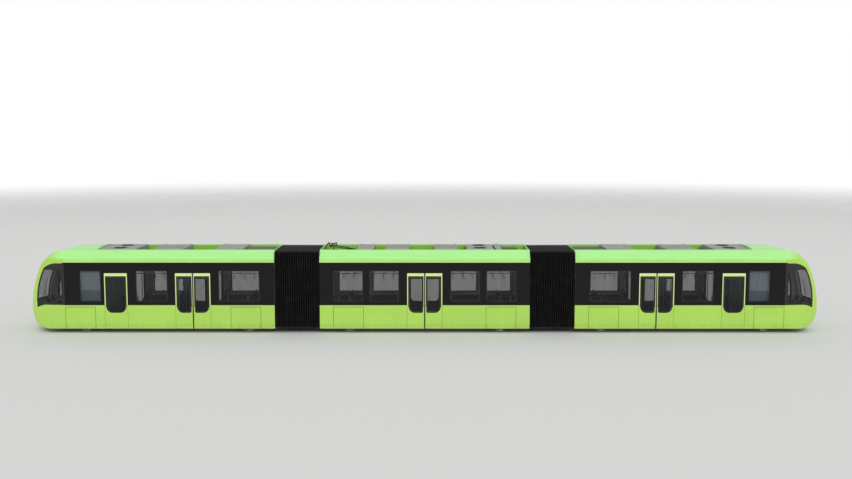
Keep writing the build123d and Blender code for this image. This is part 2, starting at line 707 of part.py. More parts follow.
def make_pantograph_head():
    """Head: two hangers on the cross bar, and two contact strips with drooping horns."""
    low_z = HEAD.Z + HANGER_RISE
    head = Part()
    for way in (-1, 1):
        y = way * HANGER_Y
        head += across(HEAD_EYE_R, EYE_THICK, HEAD.X, y, HEAD.Z)
        head += block(
            HEAD.X - HINGE_PIN_R, HEAD.X + HINGE_PIN_R, y - EYE_THICK / 2, y + EYE_THICK / 2,
            HEAD.Z, low_z)
        head += block(
            HEAD.X - STRIP_X, HEAD.X + STRIP_X, y - EYE_THICK / 2, y + EYE_THICK / 2,
            low_z - STRIP_THICK, low_z)
    head -= across(HEAD_BAR_R + RUNNING_FIT, WIDTH, HEAD.X, 0, HEAD.Z)
    top_z = low_z + STRIP_THICK
    bend_y, bend_z = (STRIP_HALF + HORN_Y) / 2 + STRIP_THICK, HORN_DROP / 3
    upper = ThreePointArc(
        (STRIP_HALF, top_z), (bend_y, top_z - bend_z), (HORN_Y, top_z - HORN_DROP))
    lower = ThreePointArc(
        (HORN_Y - STRIP_THICK, top_z - HORN_DROP),
        (bend_y - STRIP_THICK, low_z - bend_z), (STRIP_HALF, low_z))
    horn = make_face(
        upper + Line(upper @ 1, lower @ 0) + lower
        + Polyline((STRIP_HALF, low_z), (0, low_z), (0, top_z), (STRIP_HALF, top_z)))
    for x in (HEAD.X - STRIP_X, HEAD.X + STRIP_X):
        side = Pos(x - STRIP_WIDTH / 2, 0, 0) * (Plane.YZ * horn)
        head += both_sides(extrude(side, amount=STRIP_WIDTH))
    return head


def gear_ring(z0, z1):
    """Flat slewing ring round the yaw axis of a running gear."""
    height = z1 - z0
    ring = Cylinder(RING_R + RING_WIDTH / 2, height) - Cylinder(RING_R - RING_WIDTH / 2, height)
    return Pos(0, 0, (z0 + z1) / 2) * ring


def make_underframe(x0, x1, axles, headstocks):
    """Floor with its sills, headstocks, bolsters and slewing rings, open over the wheels."""
    frame = block(x0, x1, -INNER, INNER, FLOOR_LOW_Z, FLOOR_Z)
    outer = SIDE - SILL_INSET
    frame += both_sides(block(x0, x1, outer - SILL_WIDTH, outer, SILL_LOW_Z, FLOOR_Z))
    for low in headstocks:
        frame += block(low, low + HEADSTOCK, -outer, outer, SILL_LOW_Z, FLOOR_Z)
    for x in axles:
        for way in (-1, 1):
            middle = x + way * BOLSTER_REACH
            if x0 < middle < x1:
                frame += block(
                    middle - BOLSTER_WIDTH / 2, middle + BOLSTER_WIDTH / 2,
                    -outer, outer, SILL_LOW_Z, FLOOR_LOW_Z)
        frame += Pos(x, 0, 0) * gear_ring(FLOOR_LOW_Z - GEAR_TOP_GAP + FIT, FLOOR_LOW_Z)
    for x in axles:
        frame -= both_sides(block(
            x - BAY_HALF, x + BAY_HALF, BAY_Y, outer - SILL_WIDTH, 0, 2 * FLOOR_Z))
    return frame


def make_wheel_boxes(axles):
    """Boxes in the saloon over the wheels of both sides."""
    boxes = Part()
    for x in axles:
        low, high = x - BAY_HALF, x + BAY_HALF
        box = block(
            low - PODIUM_THICK, high + PODIUM_THICK, BAY_Y - PODIUM_THICK, INNER,
            FLOOR_Z, PODIUM_Z)
        box -= block(
            low, high, BAY_Y, SIDE - SILL_INSET - SILL_WIDTH, FLOOR_LOW_Z,
            PODIUM_Z - PODIUM_THICK)
        boxes += both_sides(box)
    return boxes


def make_seat(x, way, base_z, width=SEAT_WIDTH, y0=SEAT_Y):
    """Seat on a wheel box, or one that stands out of the side wall above the floor."""
    low = base_z if base_z == PODIUM_Z else base_z + SEAT_HEIGHT - SEAT_PAD
    front = x + way * SEAT_DEPTH
    back = x + way * SEAT_PAD / 2
    foot = x + way * FIT
    shape = make_face(Polyline(
        (foot, low), (front, low), (front, low + SEAT_PAD), (back + way * SEAT_PAD, low + SEAT_PAD),
        (back, low + SEAT_RISE), (foot, low + SEAT_RISE), (foot, low),
    ))
    rounded = shape.vertices().filter_by(lambda corner: abs(corner.X - foot) > SEAT_PAD / 4)
    shape = fillet(rounded, SEAT_EDGE_R)
    face = Pos(0, y0, 0) * (Plane.XZ * shape)
    return extrude(face, amount=-width)


def make_seats(rows):
    """Seats of both sides."""
    seats = Part()
    for x, way, base_z in rows:
        seats += both_sides(make_seat(x, way, base_z))
    return seats


def make_rails(x0, x1, doors):
    """Grab rails: a pole at each door post and a rail along the ceiling."""
    rails = Part()
    low, high = x0 + 2 * END_POST_THICK, x1 - 2 * END_POST_THICK
    rail = Pos((low + high) / 2, RAIL_Y, RAIL_Z) * (Rot(0, 90, 0) * Cylinder(RAIL_R, high - low))
    for centre, width, _ in doors:
        for way in (-1, 1):
            pole_x = centre + way * (width / 2 + 2 * RAIL_R)
            height = BAND_TOP_Z - FLOOR_Z
            rail += Pos(pole_x, RAIL_Y, FLOOR_Z + height / 2) * Cylinder(RAIL_R, height)
    return rails + both_sides(rail)


def make_bellows():
    """Folded bellows of the fore gangway, as a hollow ring with sharp pleats."""
    low, high = MID_HALF_LENGTH + FIT, END_INNER - FIT
    pitch = (high - low) / PLEATS

    def zigzag(peak_half, centre):
        crests = []
        for number in range(PLEATS):
            crests.append((low + number * pitch, peak_half - PLEAT_DEPTH))
            crests.append((low + (number + 0.5) * pitch, peak_half))
        crests.append((high, peak_half - PLEAT_DEPTH))
        upper = [(x, centre + half) for x, half in crests]
        lower = [(x, centre - half) for x, half in reversed(crests)]
        return make_face(Polyline(*upper, *lower, upper[0]))

    def tube(shrink):
        half_z = (BELLOWS_TOP_Z - BELLOWS_LOW_Z) / 2
        middle_z = (BELLOWS_TOP_Z + BELLOWS_LOW_Z) / 2
        plan = extrude(zigzag(SIDE - shrink, 0), amount=CROWN_Z)
        side = extrude(Plane.XZ * zigzag(half_z - shrink, middle_z), amount=WIDTH, both=True)
        return plan & side

    hollow = tube(BELLOWS_THICK) + block(
        low, high, -SIDE + 2 * PLEAT_DEPTH, SIDE - 2 * PLEAT_DEPTH,
        BELLOWS_LOW_Z + 2 * PLEAT_DEPTH, BELLOWS_TOP_Z - 2 * PLEAT_DEPTH)
    return tube(0) - hollow


def make_end_posts(x, way):
    """Posts of a car end beside the gangway, on both sides."""
    low, high = sorted((x, x + way * END_POST_THICK))
    return both_sides(block(low, high, END_POST_Y, INNER, FLOOR_Z, BAND_TOP_Z))


def make_coupling():
    """Middle section's half of the fore gangway: drawbar, pin and floor disc."""
    middle = block(
        MID_HALF_LENGTH, PIVOT_X, -DRAWBAR_WIDTH / 2, DRAWBAR_WIDTH / 2,
        DRAWBAR_LOW_Z, DRAWBAR_LOW_Z + DRAWBAR_THICK)
    middle += Pos(PIVOT_X, 0, DRAWBAR_LOW_Z + DRAWBAR_THICK / 2) * Cylinder(
        DRAWBAR_WIDTH / 2, DRAWBAR_THICK)
    pin_height = FLOOR_Z - DRAWBAR_LOW_Z
    middle += Pos(PIVOT_X, 0, DRAWBAR_LOW_Z + pin_height / 2) * Cylinder(PIN_R, pin_height)
    middle += Pos(PIVOT_X, 0, FLOOR_Z - FLOOR_THICK / 2) * Cylinder(DISC_FLOOR_R, FLOOR_THICK)
    return middle


def make_arm():
    """Fore section's half of the gangway: the arm with the eye round the pin."""
    low_z = DRAWBAR_LOW_Z + DRAWBAR_THICK + PANEL_GAP
    arm = block(
        PIVOT_X, END_INNER, -DRAWBAR_WIDTH / 2, DRAWBAR_WIDTH / 2, low_z, low_z + DRAWBAR_THICK)
    arm += Pos(PIVOT_X, 0, low_z + DRAWBAR_THICK / 2) * Cylinder(PIN_EYE_R, DRAWBAR_THICK)
    arm -= Pos(PIVOT_X, 0, low_z + DRAWBAR_THICK / 2) * Cylinder(
        PIN_R + RUNNING_FIT, 2 * DRAWBAR_THICK)
    return arm


def make_tow_plate():
    """Plate behind the front skirt with the bore for a tow bar's pin."""
    plate = block(
        FLOOR_FRONT_X, FLOOR_FRONT_X + TOW_LENGTH, -TOW_WIDTH / 2, TOW_WIDTH / 2,
        FLOOR_LOW_Z, FLOOR_Z)
    bore = Cylinder(TOW_BORE_R, 4 * FLOOR_THICK)
    return plate - Pos(FLOOR_FRONT_X + TOW_LENGTH - TOW_BORE_BACK, 0, FLOOR_Z) * bore


def floor_apron(x0, x1):
    """Floor between a car end and the gangway's disc, hollowed round the disc."""
    plate = block(x0, x1, -END_POST_Y, END_POST_Y, FLOOR_LOW_Z, FLOOR_Z)
    disc = Cylinder(DISC_FLOOR_R + DISC_FLOOR_GAP, 4 * FLOOR_THICK)
    return plate - Pos(PIVOT_X, 0, FLOOR_Z) * disc


def make_caliper():
    """Brake caliper astride the outboard disc, on its arm round the wheel, on the +Y side."""
    disc_y = FLANGE_BACK_Y + RIM_WIDTH + DISC_GAP
    low_y = disc_y - PAD_GAP - PAD_THICK / 2
    high_y = disc_y + DISC_THICK + PAD_GAP + PAD_THICK
    low_z, high_z = AXLE_Z - CALIPER_HEIGHT / 2, AXLE_Z + CALIPER_HEIGHT / 2
    caliper = block(
        CALIPER_X, CALIPER_X + CALIPER_THICK, BEAM_Y, high_y, low_z, high_z)
    caliper += block(
        DISC_R - CALIPER_GRIP, CALIPER_X + CALIPER_THICK, low_y, high_y, low_z, high_z)
    slot = across(DISC_R + PAD_THICK, DISC_THICK + 2 * PAD_GAP, 0, disc_y + DISC_THICK / 2, AXLE_Z)
    return caliper - slot


def make_drive():
    """Motor across the gear, and the gearbox between it and the axle."""
    drive = across(MOTOR_R, MOTOR_LENGTH, MOTOR_X, 0, MOTOR_Z)
    drive += across(GEARBOX_R, GEARBOX_WIDTH, 0, GEARBOX_Y, AXLE_Z)
    drive += block(
        0, MOTOR_X, GEARBOX_Y - GEARBOX_WIDTH / 2, GEARBOX_Y + GEARBOX_WIDTH / 2,
        MOTOR_Z - GEARBOX_R, AXLE_Z + GEARBOX_R)
    drive += across(
        MOTOR_R, GEARBOX_WIDTH + GEARBOX_Y / 3, MOTOR_X, GEARBOX_Y - GEARBOX_Y / 6, MOTOR_Z)
    drive += block(
        MOTOR_X, CROSS_X, -MOTOR_LENGTH / 4, MOTOR_LENGTH / 4, MOTOR_Z - BEAM_WIDTH / 4,
        MOTOR_Z + BEAM_WIDTH / 4)
    return drive


def make_gear():
    """Frame of one running gear about its yaw axis, with its drive and brake calipers."""
    top_z = FLOOR_LOW_Z - GEAR_TOP_GAP
    half = BEAM_WIDTH / 2
    side = block(-BEAM_HALF, BEAM_HALF, BEAM_Y - half, BEAM_Y + half, BEAM_LOW_Z, top_z)
    side += across(AXLE_BOX_R, BEAM_WIDTH, 0, BEAM_Y, AXLE_Z) & block(
        -BEAM_HALF, BEAM_HALF, 0, WIDTH, 0, AXLE_Z)
    frame = both_sides(side + make_caliper()) + make_drive()
    for way in (-1, 1):
        middle = way * CROSS_X
        frame += block(
            middle - CROSS_WIDTH / 2, middle + CROSS_WIDTH / 2, -BEAM_Y, BEAM_Y,
            BEAM_LOW_Z, top_z)
    frame += gear_ring(AXLE_Z + AXLE_R + 5, top_z)
    return frame - across(AXLE_R + RUNNING_FIT, WIDTH, 0, 0, AXLE_Z)


def make_wheelset():
    """Axle with its two flanged wheels and outboard brake discs, about its own centre."""
    back, rim = FLANGE_BACK_Y, FLANGE_BACK_Y + RIM_WIDTH
    web = back + WEB_OFFSET
    disc = rim + DISC_GAP
    rim_r = TREAD_R - RIM_DEPTH
    # Radius and distance from the middle, round one wheel
    points = [
        (0, 0), (AXLE_R, 0), (AXLE_R, back - HUB_STEP), (HUB_R, back - HUB_STEP),
        (HUB_R, web), (rim_r, web), (rim_r, back), (FLANGE_R - FLANGE_BEVEL, back),
        (FLANGE_R, back + FLANGE_BEVEL), (FLANGE_R, back + FLANGE_THICK),
        (TREAD_R + TREAD_CONE, back + FLANGE_ROOT), (TREAD_R - TREAD_CONE, rim), (rim_r, rim), (rim_r, web + WHEEL_WEB),
        (HUB_R, web + WHEEL_WEB), (HUB_R, disc), (DISC_R, disc),
        (DISC_R, disc + DISC_THICK), (0, disc + DISC_THICK), (0, 0),
    ]
    wheel = revolve(make_face(Polyline(*points)), axis=Axis.Y)
    return both_sides(wheel)


def make_nose():
    """Nose shell with its openings, the cab glass and the lamps of the fore section."""
    outer = nose_body()
    front = block(TAPER_X, 2 * NOSE_X, -WIDTH, WIDTH, 0, 2 * CROWN_Z)
    shell = (outer - nose_body(WALL)) & front
    hollow = nose_body(WALL)
    shell += hollow & block(
        TAPER_X, 2 * NOSE_X, -WIDTH, WIDTH, BAND_TOP_Z, BAND_TOP_Z + CEILING_THICK)
    sheet = (nose_body(GLASS_SINK) - nose_body(GLASS_SINK + GLASS)) & front
    tools = [(screen_tool(0.0), screen_tool(FIT)), (cab_glass_tool(0.0), cab_glass_tool(FIT))]
    panes = Part()
    for opening, pane in tools:
        shell -= opening
        panes += sheet & pane
    lamps = Part()
    thick = (outer - nose_body(LAMP_DEPTH)) & front
    for way in (-1, 1):
        shell -= lamp_tool(way, 0.0)
        lamps += thick & lamp_tool(way, FIT)
    return shell, panes, lamps


def screen_tool(shrink):
    """Prism along the tram in the shape of the windscreen, seen from the front."""
    low, top = SCREEN_LOW_Z + shrink, SCREEN_TOP_Z - shrink
    foot, head = SIDE - SCREEN_INSET_LOW - shrink, SIDE - SCREEN_INSET_TOP - shrink
    shape = make_face(Polyline((-foot, low), (foot, low), (head, top), (-head, top), (-foot, low)))
    shape = fillet(shape.vertices(), SCREEN_CORNER_R)
    return extrude(Pos(TAPER_X + NOSE_LENGTH / 3, 0, 0) * (Plane.YZ * shape), amount=NOSE_X)


def cab_glass_tool(shrink):
    """Prism across the tram in the shape of the cab's side glass, seen from the side."""
    low, top = BELT_Z + CAB_GLASS_LOW_GAP, BAND_TOP_Z - CAB_GLASS_TOP_GAP
    post = TAPER_X + CAB_GLASS_POST
    rim = [(NOSE_X - back, low + rise) for back, rise in CAB_GLASS_CHIN]
    rim += [(NOSE_X - back, top + rise) for back, rise in CAB_GLASS_BROW]
    shape = make_face(
        Polyline(rim[6], (post, top), (post, low), rim[0])
        + ThreePointArc(*rim[0:3]) + ThreePointArc(*rim[2:5]) + ThreePointArc(*rim[4:7]))
    if shrink:
        shape = offset(shape, -shrink, kind=Kind.INTERSECTION)
    return extrude(Plane.XZ * shape, amount=WIDTH, both=True)


def lamp_tool(way, shrink):
    """Prism along the tram in the shape of one headlamp, seen from the front."""
    shape = RectangleRounded(
        LAMP_WIDTH - 2 * shrink, LAMP_HEIGHT - 2 * shrink, LAMP_HEIGHT / 3)
    shape = Pos(way * (SIDE - LAMP_INSET), LAMP_Z) * shape
    return extrude(Pos(TAPER_X, 0, 0) * (Plane.YZ * shape), amount=NOSE_X)


def make_cab():
    """Partition, raised floor on its webs, and the driver's desk of the fore cab."""
    inside = nose_body(WALL + FIT) + block(
        PARTITION_X - 1, TAPER_X, -INNER, INNER, 0, BAND_TOP_Z)
    cab = block(PARTITION_X, PARTITION_X + PARTITION_THICK, -INNER, INNER, FLOOR_Z, BAND_TOP_Z)
    cab += inside & block(
        PARTITION_X, CAB_FLOOR_FRONT_X, -INNER, INNER, CAB_FLOOR_Z - FLOOR_THICK, CAB_FLOOR_Z)
    for way in (-1, 1):
        middle = way * (BAY_Y - WEB_THICK)
        cab += block(
            PARTITION_X, FLOOR_FRONT_X, middle - WEB_THICK / 2, middle + WEB_THICK / 2,
            FLOOR_Z, CAB_FLOOR_Z - FLOOR_THICK)
    foot = CAB_FLOOR_FRONT_X - DESK_FOOT / 2
    desk = make_face(Polyline(
        (foot, CAB_FLOOR_Z), (foot + DESK_FOOT, CAB_FLOOR_Z),
        (CAB_FLOOR_FRONT_X + DESK_REACH, BELT_Z - DESK_DROP),
        (foot, BELT_Z), (CAB_FLOOR_FRONT_X - DESK_BACK, BELT_Z - DESK_DROP), (foot, CAB_FLOOR_Z),
    ))
    return cab + (inside & extrude(
        Plane.XZ * desk, amount=SIDE - SCREEN_INSET_LOW, both=True))


def make_driver_seat():
    """Seat on its post on the cab floor."""
    back_x = FLOOR_FRONT_X - DRIVER_SEAT_BACK
    seat = make_seat(back_x, 1, CAB_FLOOR_Z, DRIVER_SEAT_WIDTH, -DRIVER_SEAT_WIDTH / 2)
    middle, half = back_x + SEAT_DEPTH / 2, DRIVER_POST / 2
    return seat + block(
        middle - half, middle + half, -half, half,
        CAB_FLOOR_Z, CAB_FLOOR_Z + SEAT_HEIGHT - SEAT_PAD)


nodes = {}

# Middle section
MID_SPAN = (-MID_HALF_LENGTH, MID_HALF_LENGTH)
mid_stocks = (-MID_HALF_LENGTH, MID_HALF_LENGTH - HEADSTOCK)
mid_frame = make_underframe(*MID_SPAN, MID_AXLES, mid_stocks)
mid_apron = floor_apron(MID_HALF_LENGTH, PIVOT_X)
nodes["mid_underframe"] = mid_frame + mid_apron + half_turned(mid_apron)
nodes["mid_inner_walls"] = make_wheel_boxes(MID_AXLES)
for end_way in (-1, 1):
    nodes["mid_inner_walls"] += make_end_posts(end_way * MID_HALF_LENGTH, -end_way)
nodes["mid_lower_walls"] = make_lower_wall(*MID_SPAN, MID_DOORS, MID_AXLES)
nodes["mid_window_band"], mid_panes = make_band(*MID_SPAN, MID_DOORS, MID_WINDOWS)
nodes["mid_doors"], mid_door_panes = make_doors(MID_DOORS)
nodes["mid_glass"] = mid_panes + mid_door_panes
nodes["mid_wheel_covers"] = make_covers(MID_AXLES)
nodes["mid_roof"] = make_roof(*MID_SPAN)
nodes["mid_roof_units"] = make_units(MID_UNITS)
nodes["pantograph_base"] = make_pantograph_base()
nodes["pantograph_lower_arm"] = make_lower_arm()
nodes["pantograph_upper_arm"] = make_upper_arm()
nodes["pantograph_head"] = make_pantograph_head()
nodes["mid_seats"] = make_seats(MID_SEATS)
nodes["mid_handrails"] = make_rails(*MID_SPAN, MID_DOORS)
coupling = make_coupling()
nodes["gangway_drawbars"] = coupling + half_turned(coupling)

# End sections: made as the fore one, then turned round for the aft one
FORE_SPAN = (END_INNER, TAPER_X)
fore = {}
fore_stocks = (END_INNER, TAPER_X)
fore_frame = make_underframe(*FORE_SPAN, FORE_AXLES, fore_stocks)
fore_frame += block(
    TAPER_X, FLOOR_FRONT_X, -BAY_Y, BAY_Y, FLOOR_LOW_Z, FLOOR_Z)
fore_frame += make_tow_plate()
fore["underframe"] = fore_frame + floor_apron(PIVOT_X, END_INNER) + make_arm()
fore["inner_walls"] = make_wheel_boxes(FORE_AXLES[:1]) + make_end_posts(END_INNER, 1)
fore["lower_walls"] = make_lower_wall(*FORE_SPAN, FORE_DOORS, FORE_AXLES)
fore["window_band"], fore_panes = make_band(*FORE_SPAN, FORE_DOORS, FORE_WINDOWS)
fore["doors"], fore_door_panes = make_doors(FORE_DOORS)
fore["nose"], nose_panes, fore["lamps"] = make_nose()
fore["glass"] = fore_panes + fore_door_panes + nose_panes
fore["wheel_covers"] = make_covers(FORE_AXLES)
fore["roof"] = make_roof(*FORE_SPAN, DOME_X)
fore["roof_units"] = make_units(FORE_UNITS)
fore["seats"] = make_seats(FORE_SEATS) + make_driver_seat()
fore["handrails"] = make_rails(END_INNER, PARTITION_X, FORE_DOORS)
fore["cab"] = make_cab()
fore["bellows"] = make_bellows()
for name, part in fore.items():
    nodes[f"fore_{name}"] = part
    nodes[f"aft_{name}"] = half_turned(part)

# Running gears, each about its own yaw axis
gear, wheelset = make_gear(), make_wheelset()
for name, x, _ in AXLES:
    nodes[f"{name}_gear_frame"] = Pos(x, 0, 0) * gear
    nodes[f"{name}_wheelset"] = Pos(x, 0, AXLE_Z) * wheelset

for name, part in nodes.items():
    export_step(part, f"parts/{name}.step")
    print(name, len(part.solids()), round(part.volume / 1e6))
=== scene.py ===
import logging
from cmath import phase, rect
from dataclasses import dataclass
from enum import Enum
from functools import partial
from math import ceil, cos, degrees, pi, radians, sin, sqrt
from typing import Callable, Sequence

import bmesh
import bpy
from mathutils import Matrix, Vector


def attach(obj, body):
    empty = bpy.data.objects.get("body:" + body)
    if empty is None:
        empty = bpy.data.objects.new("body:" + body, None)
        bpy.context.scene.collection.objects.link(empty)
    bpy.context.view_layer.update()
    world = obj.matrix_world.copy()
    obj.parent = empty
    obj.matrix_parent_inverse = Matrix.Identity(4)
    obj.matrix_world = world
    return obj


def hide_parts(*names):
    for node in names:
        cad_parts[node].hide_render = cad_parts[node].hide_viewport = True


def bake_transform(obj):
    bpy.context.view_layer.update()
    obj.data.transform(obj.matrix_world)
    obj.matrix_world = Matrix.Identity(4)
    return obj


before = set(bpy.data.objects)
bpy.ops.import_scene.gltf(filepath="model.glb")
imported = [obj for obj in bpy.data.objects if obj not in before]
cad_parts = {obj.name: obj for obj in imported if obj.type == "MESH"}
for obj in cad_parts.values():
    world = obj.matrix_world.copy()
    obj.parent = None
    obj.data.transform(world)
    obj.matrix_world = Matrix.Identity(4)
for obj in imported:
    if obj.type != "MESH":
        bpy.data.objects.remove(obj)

LOG = logging.getLogger("tram")
Point = Sequence[float]
Pair = tuple[float, float]
Pairs = tuple[Pair, ...]
Points = tuple[Point, ...]
Floats = tuple[float, ...]
Outline = Sequence[Pair]
Material = bpy.types.Material
Object = bpy.types.Object
Colour = tuple[float, float, float, float]
WAYS = (-1, 1)
# Radius of the hole at the axis of turned forms, too small to see
AXIS_R = 0.001
CORNER_STEPS = 8


class Car(Enum):
    """The three sections, named as their bodies are."""

    AFT = "aft"
    MID = "mid"
    FORE = "fore"


class Mapping(Enum):
    """How a grain is stretched over a piece."""

    EVEN = (1.0, 1.0, 1.0)
    UPRIGHT = (6.0, 6.0, 0.6)
    LENGTHWISE = (0.4, 5.0, 5.0)


def paint(code: str) -> Colour:
    """Turns a screen colour into the linear one that a shader takes.

    Args:
        code: Six hexadecimal digits, red, green and blue.

    Returns:
        Linear red, green, blue and an alpha of one.
    """
    parts = [int(code[place:place + 2], 16) / 255 for place in (0, 2, 4)]
    linear = [part / 12.92 if part <= 0.04045 else ((part + 0.055) / 1.055) ** 2.4 for part in parts]
    return (*linear, 1.0)


class Shade:
    """A shader socket that takes part in Python expressions."""

    def __init__(self, tree: bpy.types.NodeTree, socket: bpy.types.NodeSocket) -> None:
        """Wraps a socket of a tree."""
        self.tree = tree
        self.socket = socket

    def math(self, operation: str, *values: "Shade | float") -> "Shade":
        """Adds a Math node.

        Args:
            operation: The node's operation.
            values: Its inputs in order.

        Returns:
            The node's result.
        """
        node = self.tree.nodes.new("ShaderNodeMath")
        node.operation = operation
        for socket, value in zip(node.inputs, values):
            if isinstance(value, Shade):
                self.tree.links.new(value.socket, socket)
            else:
                socket.default_value = value
        return Shade(self.tree, node.outputs[0])

    def __add__(self, other: "Shade | float") -> "Shade":
        """Sum."""
        return self.math("ADD", self, other)

    def __sub__(self, other: "Shade | float") -> "Shade":
        """Difference."""
        return self.math("SUBTRACT", self, other)

    def __rsub__(self, other: float) -> "Shade":
        """Difference, from the right."""
        return self.math("SUBTRACT", other, self)

    def __mul__(self, other: "Shade | float") -> "Shade":
        """Product."""
        return self.math("MULTIPLY", self, other)

    def __abs__(self) -> "Shade":
        """Size without its sign."""
        return self.math("ABSOLUTE", self)

    def least(self, other: "Shade | float") -> "Shade":
        """The lesser of two values."""
        return self.math("MINIMUM", self, other)

    def most(self, other: "Shade | float") -> "Shade":
        """The greater of two values."""
        return self.math("MAXIMUM", self, other)

    def rise(self, start: float, end: float) -> "Shade":
        """Ramps smoothly from nought to one.

        Args:
            start: Value at which the ramp leaves nought.
            end: Value at which it meets one.

        Returns:
            The ramp, held at nought and at one outside it.
        """
        node = self.tree.nodes.new("ShaderNodeMapRange")
        node.interpolation_type = "SMOOTHSTEP"
        self.tree.links.new(self.socket, node.inputs["Value"])
        low, high = (start, end) if start < end else (end, start)
        node.inputs["From Min"].default_value = low
        node.inputs["From Max"].default_value = high
        node.inputs["To Min"].default_value = 0.0 if start < end else 1.0
        node.inputs["To Max"].default_value = 1.0 if start < end else 0.0
        return Shade(self.tree, node.outputs["Result"])


class Graph:
    """The shader tree of one material."""

    def __init__(self, name: str) -> None:
        """Starts an empty material.

        Args:
            name: Its name.
        """
        self.material = bpy.data.materials.new(name)
        self.material.use_nodes = True
        self.tree = self.material.node_tree
        self.tree.nodes.clear()

    def node(self, kind: str, settings: dict[str, object], inputs: dict[str, object]) -> bpy.types.Node:
        """Adds a node of any type.

        Args:
            kind: The node's type.
            settings: Its properties, which are set first.
            inputs: Its sockets by name, each with a value or a Shade to link.

        Returns:
            The node.
        """
        node = self.tree.nodes.new(kind)
        for key, value in settings.items():
            setattr(node, key, value)
        for key, value in inputs.items():
            socket = node.inputs[int(key)] if key.isdigit() else node.inputs[key]
            if isinstance(value, Shade):
                self.tree.links.new(value.socket, socket)
            else:
                socket.default_value = value
        return node

    def out(self, node: bpy.types.Node, name: str) -> Shade:
        """Wraps one output of a node."""
        return Shade(self.tree, node.outputs[name])

    def place(self) -> tuple[Shade, Shade, Shade]:
        """Gives the place on the object.

        Returns:
            Metres along, across and up.
        """
        coordinates = self.node("ShaderNodeTexCoord", {}, {})
        split = self.node("ShaderNodeSeparateXYZ", {}, {"Vector": self.out(coordinates, "Object")})
        return self.out(split, "X"), self.out(split, "Y"), self.out(split, "Z")

    def facing_out(self, heart: Point) -> Shade:
        """Tells a shell's outside from its inside.

        Args:
            heart: A point inside the shell, in metres.

        Returns:
            One where the face looks away from the point, nought where it looks towards it.
        """
        coordinates = self.node("ShaderNodeTexCoord", {}, {})
        away = self.node("ShaderNodeVectorMath", {"operation": "SUBTRACT"}, {
            "0": self.out(coordinates, "Object"), "1": heart})
        facing = self.node("ShaderNodeVectorMath", {"operation": "DOT_PRODUCT"}, {
            "0": self.out(away, "Vector"), "1": self.out(coordinates, "Normal")})
        return self.out(facing, "Value").rise(-0.01, 0.01)

    def grain(self, scale: float, detail: float, mapping: Mapping = Mapping.EVEN) -> Shade:
        """Adds noise over the object.

        Args:
            scale: Noise cells in a metre.
            detail: Octaves of finer noise.
            mapping: How the noise is stretched.

        Returns:
            Noise about a half.
        """
        coordinates = self.node("ShaderNodeTexCoord", {}, {})
        stretch = self.node("ShaderNodeMapping", {}, {
            "Vector": self.out(coordinates, "Object"), "Scale": mapping.value})
        noise = self.node("ShaderNodeTexNoise", {}, {
            "Vector": self.out(stretch, "Vector"), "Scale": scale, "Detail": detail})
        return Shade(self.tree, noise.outputs[0])

    def mix(self, share: Shade, first: "Shade | Colour", second: "Shade | Colour") -> Shade:
        """Mixes two colours."""
        node = self.node("ShaderNodeMix", {"data_type": "RGBA"}, {"0": share, "6": first, "7": second})
        return Shade(self.tree, node.outputs[2])

    def bump(self, height: Shade, strength: float, distance: float) -> Shade:
        """Turns a height into a normal.

        Args:
            height: Height from nought to one.
            strength: How much of it shows.
            distance: Metres from nought to one.

        Returns:
            The bent normal.
        """
        node = self.node("ShaderNodeBump", {}, {
            "Height": height, "Strength": strength, "Distance": distance})
        return self.out(node, "Normal")

    def surface(self, inputs: dict[str, object]) -> Material:
        """Ends the tree in one surface shader.

        Args:
            inputs: Sockets of the shader, by name.

        Returns:
            The finished material.
        """
        shader = self.node("ShaderNodeBsdfPrincipled", {}, inputs)
        self.node("ShaderNodeOutputMaterial", {}, {"Surface": self.out(shader, "BSDF")})
        return self.material


@dataclass(frozen=True)
class Body:
    """Sizes that all three sections share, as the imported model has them."""

    side: float = 1.325
    skirt_z: float = 0.180
    tuck_z: float = 0.350
    skirt_tuck: float = 0.035
    belt_z: float = 1.125
    band_top_z: float = 2.825
    deck_z: float = 2.900
    fairing_z: float = 3.290
    well_half: float = 1.000
    floor_z: float = 0.440
    mid_half: float = 4.155
    gangway: float = 1.785
    end_length: float = 9.880
    glass_sink: float = 0.003
    door_top_z: float = 2.400

    @property
    def inner_x(self) -> float:
        """Where an end section starts."""
        return self.mid_half + self.gangway

    @property
    def nose_x(self) -> float:
        """Tip of the nose."""
        return self.inner_x + self.end_length


@dataclass(frozen=True)
class Door:
    """A doorway: its middle, width and number of leaves."""

    x: float
    width: float
    leaves: int

    @property
    def edges(self) -> Pair:
        """Its two posts."""
        return self.x - self.width / 2, self.x + self.width / 2


BODY = Body()
MID_DOORS = (Door(0.0, 1.4, 2),)
FORE_DOORS = (Door(BODY.inner_x + 3.225, 1.4, 2), Door(BODY.nose_x - 3.610, 0.92, 1))
PARTITION_X = BODY.nose_x - 3.075
OUTER_AXLE = BODY.nose_x - 2.190
INNER_AXLE = BODY.inner_x + 1.145
MID_AXLE = BODY.mid_half - 1.135
MID_WINDOWS = (
    (-BODY.mid_half + 0.525, -BODY.mid_half + 1.735), (-BODY.mid_half + 1.955, -1.0),
    (1.0, BODY.mid_half - 1.955), (BODY.mid_half - 1.735, BODY.mid_half - 0.525),
)
FORE_WINDOWS = (
    (BODY.inner_x + 0.570, FORE_DOORS[0].edges[0] - 0.305),
    (FORE_DOORS[0].edges[1] + 0.285, FORE_DOORS[1].edges[0] - 0.330),
    (PARTITION_X + 0.035, OUTER_AXLE),
)
WINDOW_Z = (1.260, 2.520)
WINDOW_R = 0.070
AXLES = (
    ("aft_outer", -OUTER_AXLE), ("aft_inner", -INNER_AXLE), ("mid_aft", -MID_AXLE),
    ("mid_fore", MID_AXLE), ("fore_inner", INNER_AXLE), ("fore_outer", OUTER_AXLE),
)
